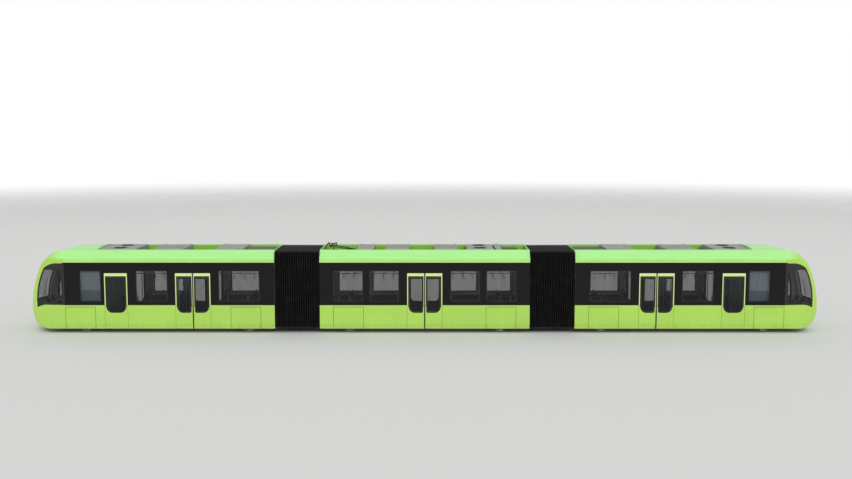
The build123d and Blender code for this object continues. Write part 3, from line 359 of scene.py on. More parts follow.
LEAVES = tuple(
    (door.x + side * door.width / 4 * (door.leaves - 1), door.width / 2 / door.leaves - 0.004)
    for door in (*MID_DOORS, *FORE_DOORS) for side in (WAYS if door.leaves == 2 else (0,)))
GEAR_REACH = 0.850
ROOF_GAP = 0.030
DRIVER_X = BODY.nose_x - 2.070
MEETINGS = tuple(door.x for door in (*MID_DOORS, *FORE_DOORS) if door.leaves == 2)
LIME_PAINT = "B1DF58"
# Paler green painted on upward-leaning surfaces: painted sky light.
PAINTED_SKYLIGHT = "AEF592"


@dataclass(frozen=True)
class CoachPaint:
    """Gloss coach paint outside and a plain lining inside, with road dust low down and painted shade along the
    skirt's tuck.
    """

    name: str
    outer: str
    inner: str = "B9BBB8"
    # How much road dust shows; at nought the painted shade line at the skirt's tuck is left out too.
    dust: float = 0.16
    dust_z: Pair = (0.6, 0.16)
    gloss: float = 0.28
    coat: float = 0.4
    shine: float = 0.5
    heart: Point = (0.0, 0.0, 1.7)

    def outside(self, graph: Graph) -> Shade:
        """Colours the outside, before dust.

        Args:
            graph: Tree of the material.

        Returns:
            The colour.
        """
        cloud = graph.grain(0.7, 2.0).rise(0.3, 0.7)
        base = paint(self.outer)
        deeper = tuple(part * 0.94 for part in base[:3]) + (1.0,)
        return graph.mix(cloud, base, deeper)

    def material(self) -> Material:
        """Builds the material.

        Returns:
            The finished material.
        """
        graph = Graph(self.name)
        up = graph.place()[2]
        colour = graph.mix(graph.facing_out(self.heart), paint(self.inner), self.outside(graph))
        streaks = graph.grain(1.6, 4.0, Mapping.UPRIGHT).rise(0.35, 0.75)
        # Painted shade: a thin line at the skirt's tuck, darkened with the dust colour.
        crease_shade = abs(up - BODY.tuck_z).rise(0.007, 0.002) * (0.35 if self.dust else 0.0)
        # This mask holds the road dust and the painted shade line at the tuck, and roughens both.
        dust = (up.rise(*self.dust_z) * streaks * self.dust).most(crease_shade)
        colour = graph.mix(dust, colour, paint("6E6A50"))
        peel = graph.grain(260.0, 1.0)
        return graph.surface({
            "Base Color": colour,
            "Roughness": dust * 0.5 + self.gloss,
            "Coat Weight": self.coat,
            "Specular IOR Level": self.shine,
            "Coat Roughness": 0.1,
            "Normal": graph.bump(peel, 0.05, 0.0006),
        })


@dataclass(frozen=True)
class DoorPaint(CoachPaint):
    """Door leaves: body colour below the belt, a lime frame above it painted paler as a highlight, black round the
    glass, and painted shade along the leaves' edges.
    """

    # Paler lime of the frame above the belt: painted highlight.
    pale: str = "D8F296"
    leaves: Pairs = ()
    border: float = 0.042
    border_top_z: float = 2.285
    meetings: Floats = ()
    seal: float = 0.026
    # Width of the painted shade at each leaf's edge.
    seam: float = 0.004

    def outside(self, graph: Graph) -> Shade:
        """Colours the outside, before dust.

        Args:
            graph: Tree of the material.

        Returns:
            The colour.
        """
        along, _, up = graph.place()
        # Above the belt the frame is painted paler: painted highlight.
        body_and_highlit_frame = graph.mix(
            up.rise(BODY.belt_z - 0.003, BODY.belt_z + 0.003), super().outside(graph), paint(self.pale))
        black, edge = 0.0, 1.0
        for middle, half in self.leaves:
            off = abs(abs(along) - abs(middle))
            black = off.rise(half - self.border + 0.002, half - self.border) + black
            edge = off.rise(half - self.seam - 0.002, half - self.seam) * edge
        black = black * up.rise(self.border_top_z + 0.002, self.border_top_z) * up.rise(1.06, 1.064)
        for meeting in self.meetings:
            black = abs(abs(along) - meeting).rise(self.seal + 0.002, self.seal) + black
        # The leaves' edges are darkened towards dark olive: painted shade of the gaps.
        with_seam_shade = graph.mix(edge * 0.7, body_and_highlit_frame, paint("2A3016"))
        return graph.mix(black.least(1.0), with_seam_shade, paint("12100F"))


@dataclass(frozen=True)
class CoverPaint(CoachPaint):
    """Wheel covers: coach paint, darkened along the seam at their sides and top as painted shade."""

    axles: Floats = ()
    half: float = 0.594
    top_z: float = 1.054
    # Width of the painted seam shade.
    lip: float = 0.009

    def outside(self, graph: Graph) -> Shade:
        """Colours the outside, before dust.

        Args:
            graph: Tree of the material.

        Returns:
            The colour.
        """
        along, _, up = graph.place()
        clear = 1.0
        for axle in self.axles:
            clear = abs(abs(along) - axle).rise(self.half - self.lip, self.half - self.lip + 0.002) * clear
        # Painted shade: the lime is darkened along the cover's sides and top, next to the seam.
        inside = (1.0 - clear) * up.rise(self.top_z - self.lip, self.top_z - self.lip - 0.002)
        return graph.mix(inside, paint("4E5A2A"), super().outside(graph))


@dataclass(frozen=True)
class RoofPaint(CoachPaint):
    """Coach paint on the fairings, grey on the deck and a pale lining on the ceiling, with painted sky light on the
    leaning fairings and painted shade on the well's inner walls.
    """

    deck: str = "7E827C"
    ceiling: str = "DADBD6"
    # Darker green of the fairings' inner walls in the well: painted shade.
    rim: str = "92C83E"
    # Heights over which the painted sky light fades in.
    skylight_z: Pair = (2.93, 3.0)
    shaded_wall_z: Pair = (3.27, 3.25)

    def material(self) -> Material:
        """Builds the material.

        Returns:
            The finished material.
        """
        graph = Graph(self.name)
        _, across, up = graph.place()
        grime = graph.grain(2.2, 5.0, Mapping.LENGTHWISE).rise(0.35, 0.8)
        # The leaning upper fairings are painted paler green: painted sky light.
        outside = graph.mix(up.rise(*self.skylight_z), self.outside(graph), paint(PAINTED_SKYLIGHT))
        # The fairings' inner walls in the well are darkened: painted shade.
        rim = abs(across).rise(BODY.well_half + 0.004, BODY.well_half - 0.001) * up.rise(*self.shaded_wall_z)
        outside = graph.mix(rim, outside, paint(self.rim))
        outside = graph.mix(grime * 0.1, outside, paint("8A8068"))
        deck = graph.mix(grime, paint(self.deck), paint("5C5D58"))
        in_well = abs(across).rise(BODY.well_half - 0.0005, BODY.well_half - 0.0015)
        on_deck = in_well * up.rise(BODY.deck_z + 0.035, BODY.deck_z + 0.03)
        colour = graph.mix(on_deck, outside, deck)
        colour = graph.mix(up.rise(BODY.band_top_z + 0.002, BODY.band_top_z + 0.001), colour, paint(self.ceiling))
        peel = graph.grain(220.0, 1.0)
        return graph.surface({
            "Base Color": colour,
            "Roughness": on_deck * 0.4 + self.gloss,
            "Coat Weight": self.coat,
            "Specular IOR Level": self.shine,
            "Coat Roughness": 0.12,
            "Normal": graph.bump(peel, 0.05, 0.0006),
        })


@dataclass(frozen=True)
class NosePaint(CoachPaint):
    """Coach paint of the nose, dark round the post of the cab's side glass, and paler on its roof as painted sky
    light.
    """

    dark: str = "1C1818"
    post_x: Pair = (14.312, 14.308)
    # Heights over which the painted sky light fades in.
    skylight_z: Pair = (2.93, 3.0)
    # Span along the nose over which the painted sky light fades out.
    skylight_x: Pair = (15.0, 14.25)

    def outside(self, graph: Graph) -> Shade:
        """Colours the outside, with the dark post between belt and roof, and a paler green above it as painted sky
        light.

        Args:
            graph: Tree of the material.

        Returns:
            The colour.
        """
        along, _, up = graph.place()
        foot, top, soft = BODY.belt_z, BODY.band_top_z, 0.002
        band = up.rise(foot - soft, foot + soft) * up.rise(top + soft, top - soft)
        post = abs(along).rise(*self.post_x) * band
        # Painted sky light: the nose's roof is painted paler green.
        roof = up.rise(*self.skylight_z) * abs(along).rise(*self.skylight_x)
        colour = graph.mix(roof, super().outside(graph), paint(PAINTED_SKYLIGHT))
        return graph.mix(post, colour, paint(self.dark))


@dataclass(frozen=True)
class Grained:
    """Two colours mixed by a grain, with a bump of finer grain.

    Attributes:
        share: How much of the second colour shows where the grain is full.
        rougher: What the second colour adds to the roughness.
        blotch: Scale, detail and both thresholds of the grain.
        speck: Scale, detail, strength and height of the bump.
    """

    name: str
    colour: str
    worn: str = "FFFFFF"
    share: float = 1.0
    roughness: float = 0.5
    rougher: float = 0.0
    metallic: float = 0.0
    shine: float = 0.5
    sheen: float = 0.0
    blotch: Floats = (3.0, 5.0, 0.42, 0.78)
    speck: Floats = (90.0, 2.0, 0.12, 0.0008)

    def tone(self, graph: Graph, cover: Shade) -> Shade:
        """Mixes the two colours."""
        return graph.mix(cover, paint(self.colour), paint(self.worn))

    def material(self) -> Material:
        """Builds the material.

        Returns:
            The finished material.
        """
        graph = Graph(self.name)
        *cells, low, high = self.blotch
        cover = graph.grain(*cells).rise(low, high) * self.share
        *cells, strength, height = self.speck
        return graph.surface({
            "Base Color": self.tone(graph, cover),
            "Roughness": cover * self.rougher + self.roughness,
            "Metallic": self.metallic,
            "Specular IOR Level": self.shine,
            "Sheen Weight": self.sheen,
            "Normal": graph.bump(graph.grain(*cells), strength, height),
        })


@dataclass(frozen=True)
class SatinPaint(Grained):
    """Satin paint on steel, with grime in its grain."""

    worn: str = "4A443A"
    share: float = 0.45
    roughness: float = 0.45
    rougher: float = 0.35


@dataclass(frozen=True)
class FloorPaint(SatinPaint):
    """Underframe: chassis paint below, speckled floor covering on top."""

    cover: str = "5A6068"
    floor_z: float = 0.438

    def material(self) -> Material:
        """Builds the material.

        Returns:
            The finished material.
        """
        graph = Graph(self.name)
        _, _, up = graph.place()
        blotch = graph.grain(3.0, 5.0).rise(0.4, 0.75)
        fleck = graph.grain(160.0, 1.0).rise(0.55, 0.62)
        below = graph.mix(blotch * self.share, paint(self.colour), paint(self.worn))
        above = graph.mix(fleck, paint(self.cover), paint("8E949C"))
        on_top = up.rise(self.floor_z - 0.001, self.floor_z)
        return graph.surface({
            "Base Color": graph.mix(on_top, below, above),
            "Roughness": on_top * 0.15 + self.roughness,
            "Normal": graph.bump(fleck, 0.1, 0.0006),
        })


@dataclass(frozen=True)
class Rubber(Grained):
    """Matt black rubber or coated cloth, chalky where it catches dust."""

    colour: str = "0A0908"
    worn: str = "5A5750"
    share: float = 0.10
    roughness: float = 0.62
    rougher: float = 0.2
    shine: float = 0.15
    blotch: Floats = (4.0, 5.0, 0.45, 0.85)
    speck: Floats = (420.0, 1.0, 0.25, 0.0008)


@dataclass(frozen=True)
class Glass:
    """Tinted safety glass that lets the inside show."""

    name: str
    tint: str = "0E1113"
    cover: float = 0.30

    def material(self) -> Material:
        """Builds the material.

        Returns:
            The finished material.
        """
        graph = Graph(self.name)
        smear = graph.grain(1.4, 3.0, Mapping.UPRIGHT).rise(0.3, 0.9)
        return graph.surface({
            "Base Color": graph.mix(smear * 0.25, paint(self.tint), paint("24292C")),
            "Roughness": smear * 0.05 + 0.04,
            "Alpha": smear * 0.06 + self.cover,
            "IOR": 1.5,
        })


@dataclass(frozen=True)
class Metal:
    """Bare metal, brushed or rolled."""

    name: str
    colour: str
    roughness: float = 0.3
    rust: float = 0.0

    def material(self) -> Material:
        """Builds the material.

        Returns:
            The finished material.
        """
        graph = Graph(self.name)
        brushed = graph.grain(60.0, 3.0, Mapping.LENGTHWISE)
        bloom = graph.grain(9.0, 5.0).rise(0.45, 0.75) * self.rust
        return graph.surface({
            "Base Color": graph.mix(bloom, paint(self.colour), paint("5B3A24")),
            "Metallic": 1.0 - bloom * 0.8,
            "Roughness": brushed * 0.2 + bloom * 0.4 + self.roughness,
            "Normal": graph.bump(brushed, 0.1, 0.0004),
        })


@dataclass(frozen=True)
class WheelSteel(Metal):
    """Wheelset: bright tread and disc faces, dull rusty webs and axle."""

    axle_z: float = 0.325

    def material(self) -> Material:
        """Builds the material.

        Returns:
            The finished material.
        """
        graph = Graph(self.name)
        _, across, up = graph.place()
        bloom = graph.grain(7.0, 5.0).rise(0.3, 0.7)
        disc = abs(across).rise(0.848, 0.849)
        worn = disc.most(abs(up - self.axle_z).rise(0.285, 0.296))
        rusty = (1.0 - worn) * (bloom * 0.6 + 0.25)
        return graph.surface({
            "Base Color": graph.mix(rusty, paint(self.colour), paint("4A3526")),
            "Metallic": 1.0 - rusty * 0.7,
            "Roughness": rusty * 0.5 + self.roughness,
            "Normal": graph.bump(bloom, 0.1, 0.0008),
        })


@dataclass(frozen=True)
class Plastic(Grained):
    """Moulded plastic with a fine pebble, paler where it is worn."""

    rougher: float = 0.08
    blotch: Floats = (2.0, 3.0, 0.3, 0.8)
    speck: Floats = (300.0, 2.0, 0.15, 0.0006)

    def tone(self, graph: Graph, cover: Shade) -> Shade:
        """Mixes the colour with a paler one."""
        paler = tuple(min(1.0, part * 1.12 + 0.004) for part in paint(self.colour)[:3]) + (1.0,)
        return graph.mix(cover, paint(self.colour), paler)


@dataclass(frozen=True)
class WallLining(Plastic):
    """Wall panels in two tones, dark below the sills."""

    low: str = "0E2A42"
    kick: str = "26292B"
    split_z: float = 1.255
    kick_z: float = 0.745

    def tone(self, graph: Graph, cover: Shade) -> Shade:
        """Colours the panels by their height.

        Args:
            graph: Tree of the material.
            cover: Wear, which doesn't show here.

        Returns:
            The colour.
        """
        up = graph.place()[2]
        panel = graph.mix(up.rise(self.kick_z, self.kick_z + 0.002), paint(self.kick), paint(self.low))
        return graph.mix(up.rise(self.split_z - 0.002, self.split_z), panel, paint(self.colour))


@dataclass(frozen=True)
class Moquette(Grained):
    """Short-pile seat cloth with a plain fleck."""

    colour: str = "1E2C5A"
    worn: str = "42578C"
    roughness: float = 0.9
    sheen: float = 0.3
    blotch: Floats = (110.0, 1.0, 0.66, 0.72)
    speck: Floats = (600.0, 2.0, 0.4, 0.001)


@dataclass(frozen=True)
class Glow:
    """Lamp or light strip behind a clear cover, and the faint painted glow of a blank display."""

    name: str
    colour: str = "FFFFFF"
    strength: float = 0.6

    def material(self) -> Material:
        """Builds the material.

        Returns:
            The finished material.
        """
        graph = Graph(self.name)
        cells = graph.grain(120.0, 1.0).rise(0.2, 0.8)
        base = paint(self.colour)
        dimmer = tuple(part * 0.82 for part in base[:3]) + (1.0,)
        return graph.surface({
            "Base Color": graph.mix(cells, base, dimmer),
            "Emission Color": graph.mix(cells, base, dimmer),
            "Emission Strength": self.strength,
            "Roughness": 0.3,
        })


class Finish(Enum):
    """Every finish of the tram."""

    LIME = CoachPaint("lime_coach_paint", LIME_PAINT, inner="3E4246")
    COVER = CoverPaint("lime_cover_paint", LIME_PAINT, inner="3E4246", axles=(MID_AXLE, INNER_AXLE, OUTER_AXLE))
    NOSE = NosePaint("lime_nose_paint", LIME_PAINT)
    DOOR = DoorPaint("door_paint", LIME_PAINT, inner="22272A", leaves=LEAVES, meetings=MEETINGS)
    BAND = CoachPaint("dark_band_paint", "161313", inner="AEB1B0", dust=0.0, gloss=0.35, coat=0.04, shine=0.15)
    # The roof's lime is a brighter copy of the body's lime: painted sky light.
    ROOF = RoofPaint("roof_lime_paint", "B6EE78")
    UNDERFRAME = FloorPaint("underframe_paint", "2A2B2A")
    GEAR = SatinPaint("gear_paint", "303231", share=0.6)
    ROOF_COVER = SatinPaint("roof_cover_paint", "9A9E96", worn="62645E", roughness=0.5)
    PANTOGRAPH = SatinPaint("pantograph_paint", "34373A", roughness=0.4, metallic=0.2)
    CARBON = SatinPaint("strip_carbon", "24241F", roughness=0.55, metallic=0.4)
    BELLOWS = Rubber("bellows_cloth")
    SEAL = Rubber("seal_rubber", "0F0F0F")
    GLASS = Glass("tinted_glass")
    LAMP_COVER = Glass("lamp_cover", "C8D0D4", 0.22)
    RAIL = Metal("brushed_rail", "BDBDB8", 0.28)
    WHEEL = WheelSteel("wheel_steel", "9A9A96", 0.3)
    CAB = Plastic("cab_lining", "5E6062")
    LINING = WallLining("inner_lining", "A4A8A8")
    SEAT = Plastic("seat_shell", "26365E", roughness=0.42)
    BLACK = Plastic("black_plastic", "1A1A1B", roughness=0.45)
    CUPBOARD = Plastic("cupboard_laminate", "8296A4")
    BLIND = Plastic("blind_cloth", "B4C2CC", roughness=0.8)
    BOLT = Metal("bolt_steel", "8C8C88", 0.35, 0.2)
    COPPER = Metal("copper_braid", "8A5A3A", 0.5)
    CLOTH = Moquette("seat_cloth")
    CEILING = Glow("ceiling_light", "F4F6FF", 0.9)
    WHITE = Glow("lamp_white", "F2F5FF", 0.8)
    AMBER = Glow("lamp_amber", "FF8C1A", 0.5)
    RED = Glow("lamp_red", "C81414", 0.4)
    # The blank displays glow faintly though they are off: painted light.
    BLANK_DISPLAY_GLOW = Glow("blank_display_glow", "1C1E1C", 0.05)


class Palette:
    """The materials, one for each finish."""

    def __init__(self) -> None:
        """Builds every material."""
        self.made = {finish: finish.value.material() for finish in Finish}

    def __getitem__(self, finish: Finish) -> Material:
        """Gives the material of a finish."""
        return self.made[finish]


class Turned(Enum):
    """Turned fittings: faces round each, then radius and height of its rings in millimetres."""

    DOOR_BUTTON = (24, ((1, 0), (24, 0), (24, 2), (20, 3.6), (1, 4)))
    WIPER_FOOT = (20, ((1, 0), (26, 0), (26, 8), (16, 18), (1, 20)))
    LAMP_BOWL = (24, (
        (40, 24), (36, 20), (26, 6), (12, 1), (12, -1),
        (30, 4), (40, 20), (42, 24), (40, 24)))
    LAMP_BEAM = (20, ((1, 4), (10, 4), (13, 1), (1, 1)))
    LED = (14, ((1, 0), (9, 0), (9, 6), (5, 10), (1, 11)))
    ROOF_SCREW = (10, ((1, -1), (11, -1), (11, 3), (7, 6), (1, 6)))
    EYE_FOOT = (12, ((1, 0), (18, 0), (18, 4), (1, 4)))
    LEAD_GLAND = (12, ((1, -2), (24, -2), (24, 10), (18, 26), (1, 26)))
    PEDESTAL = (24, (
        (1, 0), (120, 0), (120, 14), (60, 30), (55, 300), (110, 352),
        (1, 356)))
    BRACKET_FOOT = (14, ((1, 0), (30, 0), (26, 10), (12, 16)))
    POLE_FOOT = (20, ((17.5, 0), (44, 0), (40, 8), (20, 14), (17.5, 14)))
    KNOB = (14, ((1, 0), (11, 0), (11, 8), (8, 12), (1, 12)))
    LEVER_KNOB = (16, ((1, 0), (18, 4), (22, 20), (16, 36), (1, 40)))
    BEARING_COVER = (28, (
        (54, -1), (96, -1), (96, 10), (88, 16), (54, 16), (54, -1)))
    BEAM_BOLT = (6, ((1, -1), (12, -1), (12, 8), (1, 10)))
    DISC_HUB = (24, ((1, 0), (55, 0), (50, 12), (30, 20), (1, 20)))
    PAN_BOLT = (6, ((1, -1), (11, -1), (11, 6), (1, 8)))
    DRAIN = (20, ((1, 0), (45, 0), (45, 5), (30, 12), (1, 12)))
    PANTOGRAPH_BOLT = (6, ((1, -1), (9, -1), (9, 6), (1, 8)))
    KNEE_NUT = (6, ((1, 0), (24, 0), (24, 6), (16, 12), (1, 12)))


class Solid:
    """Faces of one piece, in the row frame, in metres."""

    def __init__(self, turned: bool = False) -> None:
        """Starts empty."""
        self.mesh = bmesh.new()
        self.turned = turned

    def box(self, low: Point, high: Point, soften: float = 0.0) -> None:
        """Adds a box.

        Args:
            low: Lowest corner.
            high: Highest corner.
            soften: Width of the bevel along its edges.
        """
        middle = (Vector(low) + Vector(high)) / 2
        spans = [abs(b - a) for a, b in zip(low, high)]
        place = Matrix.Translation(middle) @ Matrix.Diagonal((*spans, 1.0))
        made = bmesh.ops.create_cube(self.mesh, size=1.0, matrix=place)
        if soften:
            edges = list({edge for corner in made["verts"] for edge in corner.link_edges})
            bmesh.ops.bevel(
                self.mesh, geom=edges, offset=soften, segments=2, profile=0.6, affect="EDGES",
                clamp_overlap=True)

    def loft(self, sections: Sequence[Sequence[Point]], loop: bool = True, caps: bool = True) -> None:
        """Adds faces between sections of as many points each.

        Args:
            sections: The sections in order.
            loop: Whether a section's last point meets its first.
            caps: Whether the first and last sections are filled.
        """
        rows = [[self.mesh.verts.new(point) for point in section] for section in sections]
        count = len(rows[0])
        for first, second in zip(rows, rows[1:]):
            for number in range(count if loop else count - 1):
                after = (number + 1) % count
                self.mesh.faces.new((first[number], first[after], second[after], second[number]))
        if caps:
            self.mesh.faces.new(list(reversed(rows[0])))
            self.mesh.faces.new(rows[-1])

    def frame(self, outer: Sequence[Point], inner: Sequence[Point], depth: Point) -> None:
        """Adds a flat ring with a thickness.

        Args:
            outer: Points of the outer edge.
            inner: As many points of the inner edge.
            depth: From the shown face to the back of the ring.
        """
        back = Vector(depth)
        rings = [
            [Vector(point) + back for point in outer], list(outer),
            list(inner), [Vector(point) + back for point in inner],
        ]
        rings.append(rings[0])
        self.loft(rings[:4], caps=False)
        self.loft([rings[3], rings[0]], caps=False)

    def plate(self, outline: Sequence[Point], depth: Point) -> None:
        """Adds a plate with that outline and a thickness."""
        back = Vector(depth)
        self.loft([list(outline), [Vector(point) + back for point in outline]])

    def tube(self, path: Sequence[Point], radius: float, sides: int = 10) -> None:
        """Adds a round bar along a path.

        Args:
            path: Points along its middle.
            radius: Its radius.
            sides: Faces round it.
        """
        points = [Vector(point) for point in path]
        sections = []
        side = None
        for number, point in enumerate(points):
            before, after = points[max(number - 1, 0)], points[min(number + 1, len(points) - 1)]
            ahead = (after - before).normalized()
            if side is None:
                lead = Vector((0, 0, 1)) if abs(ahead.z) < 0.9 else Vector((1, 0, 0))
                side = ahead.cross(lead).normalized()
            side = (side - ahead * side.dot(ahead)).normalized()
            up = ahead.cross(side)
            sections.append([
                point + (side * cos(turn) + up * sin(turn)) * radius
                for turn in (2 * pi * step / sides for step in range(sides))])
        self.loft(sections)

    def revolve(self, profile: Outline, foot: Point, axis: Point, steps: int = 20) -> None:
        """Adds a turned form.

        Args:
            profile: Radius and height of each ring, from one end to the other.
            foot: Where height nought lies.
            axis: Direction of the heights.
            steps: Faces round it.
        """
        ahead = Vector(axis).normalized()
        lead = Vector((0, 0, 1)) if abs(ahead.z) < 0.9 else Vector((1, 0, 0))
        side = ahead.cross(lead).normalized()
        up = ahead.cross(side)
        self.loft([
            [Vector(foot) + ahead * height + (side * cos(turn) + up * sin(turn)) * radius
             for turn in (2 * pi * step / steps for step in range(steps))]
            for radius, height in profile])

    def fit(self, kind: Turned, foot: Point, axis: Point) -> None:
        """Adds a turned fitting of that kind."""
        steps, profile = kind.value
        self.revolve([(radius / 1000, height / 1000) for radius, height in profile], foot, axis, steps)

    def thing(self, name: str, material: Material) -> Object:
        """Makes the object, and ends the solid.

        Args:
            name: Its name.
            material: Its finish.

        Returns:
            The object.
        """
        bmesh.ops.recalc_face_normals(self.mesh, faces=self.mesh.faces)
        mesh = bpy.data.meshes.new(name)
        self.mesh.to_mesh(mesh)
        self.mesh.free()
        mesh.materials.append(material)
        made = bpy.data.objects.new(name, mesh)
        bpy.context.scene.collection.objects.link(made)
        return made

    def piece(self, name: str, material: Material, slot: str, smooth: float = 32.0) -> Object:
        """Makes a piece of the tram.

        Args:
            name: Its name.
            material: Its finish.
            slot: The record's material slot, which is not used.
            smooth: Angle in degrees up to which edges are shaded smooth.

        Returns:
            The object, riding on nothing yet.
        """
        if self.turned:
            bmesh.ops.rotate(
                self.mesh, verts=self.mesh.verts, cent=(0, 0, 0), matrix=Matrix.Rotation(pi, 3, "Z"))
        made = self.thing(name, material)
        made.data.polygons.foreach_set("use_smooth", [True] * len(made.data.polygons))
        made.data.set_sharp_from_angle(angle=radians(smooth))
        return made


def spread(low: float, high: float, count: int) -> list[float]:
    """Gives places evenly apart from low to high, both included."""
    return [low + (high - low) * number / (count - 1) for number in range(count)]


def circle(radius: float, steps: int) -> list[Pair]:
    """Gives a circle round nought, with its first point again at its end."""
    return [(radius * cos(turn), radius * sin(turn))
            for turn in (2 * pi * step / steps for step in range(steps + 1))]


def arc(middle: Point, radius: float, start: float, end: float, steps: int) -> list[Pair]:
    """Gives points of an arc in a plane."""
    turns = [radians(start + (end - start) * step / steps) for step in range(steps + 1)]
    return [(middle[0] + radius * cos(turn), middle[1] + radius * sin(turn)) for turn in turns]


def rounded(x0: float, x1: float, z0: float, z1: float, radii: Sequence[float]) -> list[Pair]:
    """Gives the outline of a rectangle with rounded corners.

    Args:
        x0: Left edge.
        x1: Right edge.
        z0: Low edge.
        z1: High edge.
        radii: Radii of the low left, low right, high right and high left corners.

    Returns:
        The outline's points, anticlockwise.
    """
    return (
        arc((x0 + radii[0], z0 + radii[0]), radii[0], 180, 270, CORNER_STEPS)
        + arc((x1 - radii[1], z0 + radii[1]), radii[1], 270, 360, CORNER_STEPS)
        + arc((x1 - radii[2], z1 - radii[2]), radii[2], 0, 90, CORNER_STEPS)
        + arc((x0 + radii[3], z1 - radii[3]), radii[3], 90, 180, CORNER_STEPS)
    )


def arc_through(first: Point, middle: Point, last: Point, steps: int) -> list[Pair]:
    """Gives points of the arc through three points of a plane.

    Args:
        first: Start.
        middle: Point on the way.
        last: End.
        steps: Stretches between the points.

    Returns:
        The points, both ends included.
    """
    a, b, c = (complex(*point) for point in (first, middle, last))
    ratio = (c - a) / (b - a)
    centre = (b - a) * (ratio - abs(ratio) ** 2) / (2j * ratio.imag) + a
    turn = phase((c - centre) / (a - centre))
    by_way = phase((b - centre) / (a - centre))
    if turn * by_way < 0 or abs(turn) < abs(by_way):
        turn += 2 * pi if by_way > 0 else -2 * pi
    places = [centre + (a - centre) * rect(1, turn * step / steps) for step in range(steps + 1)]
    return [(place.real, place.imag) for place in places]


def dense(points: Sequence[Point], pitch: float) -> list[Pair]:
    """Adds points to a closed outline until none of its stretches is longer than a pitch.

    Args:
        points: The outline.
        pitch: The longest stretch that may stay.

    Returns:
        The outline with its new points.
    """
    made = []
    for first, second in zip(points, [*points[1:], points[0]]):
        start, end = Vector(first), Vector(second)
        parts = max(1, ceil((end - start).length / pitch))
        made += [tuple(start.lerp(end, part / parts)) for part in range(parts)]
    return made


def shrunk(points: Sequence[Point], inset: float) -> list[Pair]:
    """Moves a closed outline inwards.

    Args:
        points: The outline, anticlockwise, with no two points in one place.
        inset: How far every stretch moves.

    Returns:
        As many points.
    """
    made = []
    for before, here, after in zip([points[-1], *points[:-1]], points, [*points[1:], points[0]]):
        along = (Vector(here) - Vector(before)).normalized()
        onward = (Vector(after) - Vector(here)).normalized()
        inward = Vector((-along.y - onward.y, along.x + onward.x)).normalized()
        reach = inset / max(0.3, inward.dot(Vector((-along.y, along.x))))
        made.append(tuple(Vector(here) + inward * reach))
    return made


@dataclass(frozen=True)
class Nose:
    """Shape of the nose: level cuts of tangent arcs, set back from a leaning tip."""

    taper_x: float = BODY.nose_x - 1.570
    front_r: float = 3.0
    side_r: float = 4.0
    corner_r: float = 0.320
    tip_z: float = 0.960
    screen_r: float = 3.980
    chin_r: float = 1.200

    def tip(self, z: float) -> float:
        """Foremost place at a height between chin and brow."""
        radius = self.screen_r if z > self.tip_z else self.chin_r
        return BODY.nose_x - (radius - sqrt(radius ** 2 - (z - self.tip_z) ** 2))

    def arcs(self, z: float) -> tuple[Vector, Vector, Vector]:
        """Gives the arcs of the level cut at a height.

        Args:
            z: The height.

        Returns:
            Centres of the front, corner and side arcs.
        """
        front = Vector((self.tip(z) - self.front_r, 0.0))
        side = Vector((self.taper_x, BODY.side - self.side_r))
        gap = side - front
        near, far = self.front_r - self.corner_r, self.side_r - self.corner_r
        run = (near ** 2 - far ** 2 + gap.length ** 2) / (2 * gap.length)
        rise = sqrt(near ** 2 - run ** 2)
        unit = gap.normalized()
        normal = Vector((-unit.y, unit.x))
        corner = front + unit * run + normal * rise
        if corner.y < 0:
            corner = front + unit * run - normal * rise
        return front, corner, side

    def beside(self, x: float, z: float, out: float = 0.0, way: int = 1) -> Vector:
        """Gives a point of a flank.

        Args:
            x: Place along the tram.
            z: Height.
            out: How far off the surface, outwards.
            way: +1 for the flank on the +Y side, -1 for the other.

        Returns:
            The point.
        """
        _, corner, side = self.arcs(z)
        if x <= self.taper_x:
            return Vector((x, way * (BODY.side + out), z))
        meet = side + (corner - side).normalized() * self.side_r
        middle, radius = (side, self.side_r) if x <= meet.x else (corner, self.corner_r)
        turn = (x - middle.x) / radius
        height = sqrt(max(0.0, 1.0 - turn ** 2))
        return Vector((x + turn * out, way * (middle.y + height * (radius + out)), z))

    def before(self, y: float, z: float, out: float = 0.0) -> Vector:
        """Gives a point of the front.

        Args:
            y: Distance from the middle of the tram.
            z: Height.
            out: How far off the surface, outwards.

        Returns:
            The point.
        """
        front, corner, _ = self.arcs(z)
        meet = front + (corner - front).normalized() * self.front_r
        middle, radius = (front, self.front_r) if abs(y) <= meet.y else (corner, self.corner_r)
        turn = (abs(y) - middle.y) / radius
        depth = sqrt(max(0.0, 1.0 - turn ** 2))
        across = y + (turn * out if y >= 0 else -turn * out)
        return Vector((middle.x + depth * (radius + out), across, z))


@dataclass
class Assembly:
    """What the sub-assemblies share: a solid for each part, which becomes a piece.

    PARTS gives each part's finish and material slot.

    Attributes:
        name: How the pieces' names start, which is the section's name or the assembly's own.
    """

    name: str
    PARTS = {}

    def __post_init__(self) -> None:
        """Starts an empty solid for each part, turned half round on the aft section."""
        self.solids = {part: Solid(self.name == Car.AFT.value) for part in self.PARTS}

    def __getitem__(self, part: str) -> Solid:
        """Gives the solid of a part."""
        return self.solids[part]

    def body(self, part: str) -> str:
        """Names the body that a part rides on, by default the section."""
        return self.name

    def shape(self) -> None:
        """Fills the solids."""

    def build(self, palette: Palette) -> list[Object]:
        """Shapes every part and makes it a piece that rides on its body.

        Args:
            palette: Every finish.

        Returns:
            The pieces.
        """
        self.shape()
        pieces = []
        for part, (finish, slot) in self.PARTS.items():
            made = self[part].piece(f"{self.name}_{part}", palette[finish], slot)
            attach(made, self.body(part))
            pieces.append(made)
        return pieces


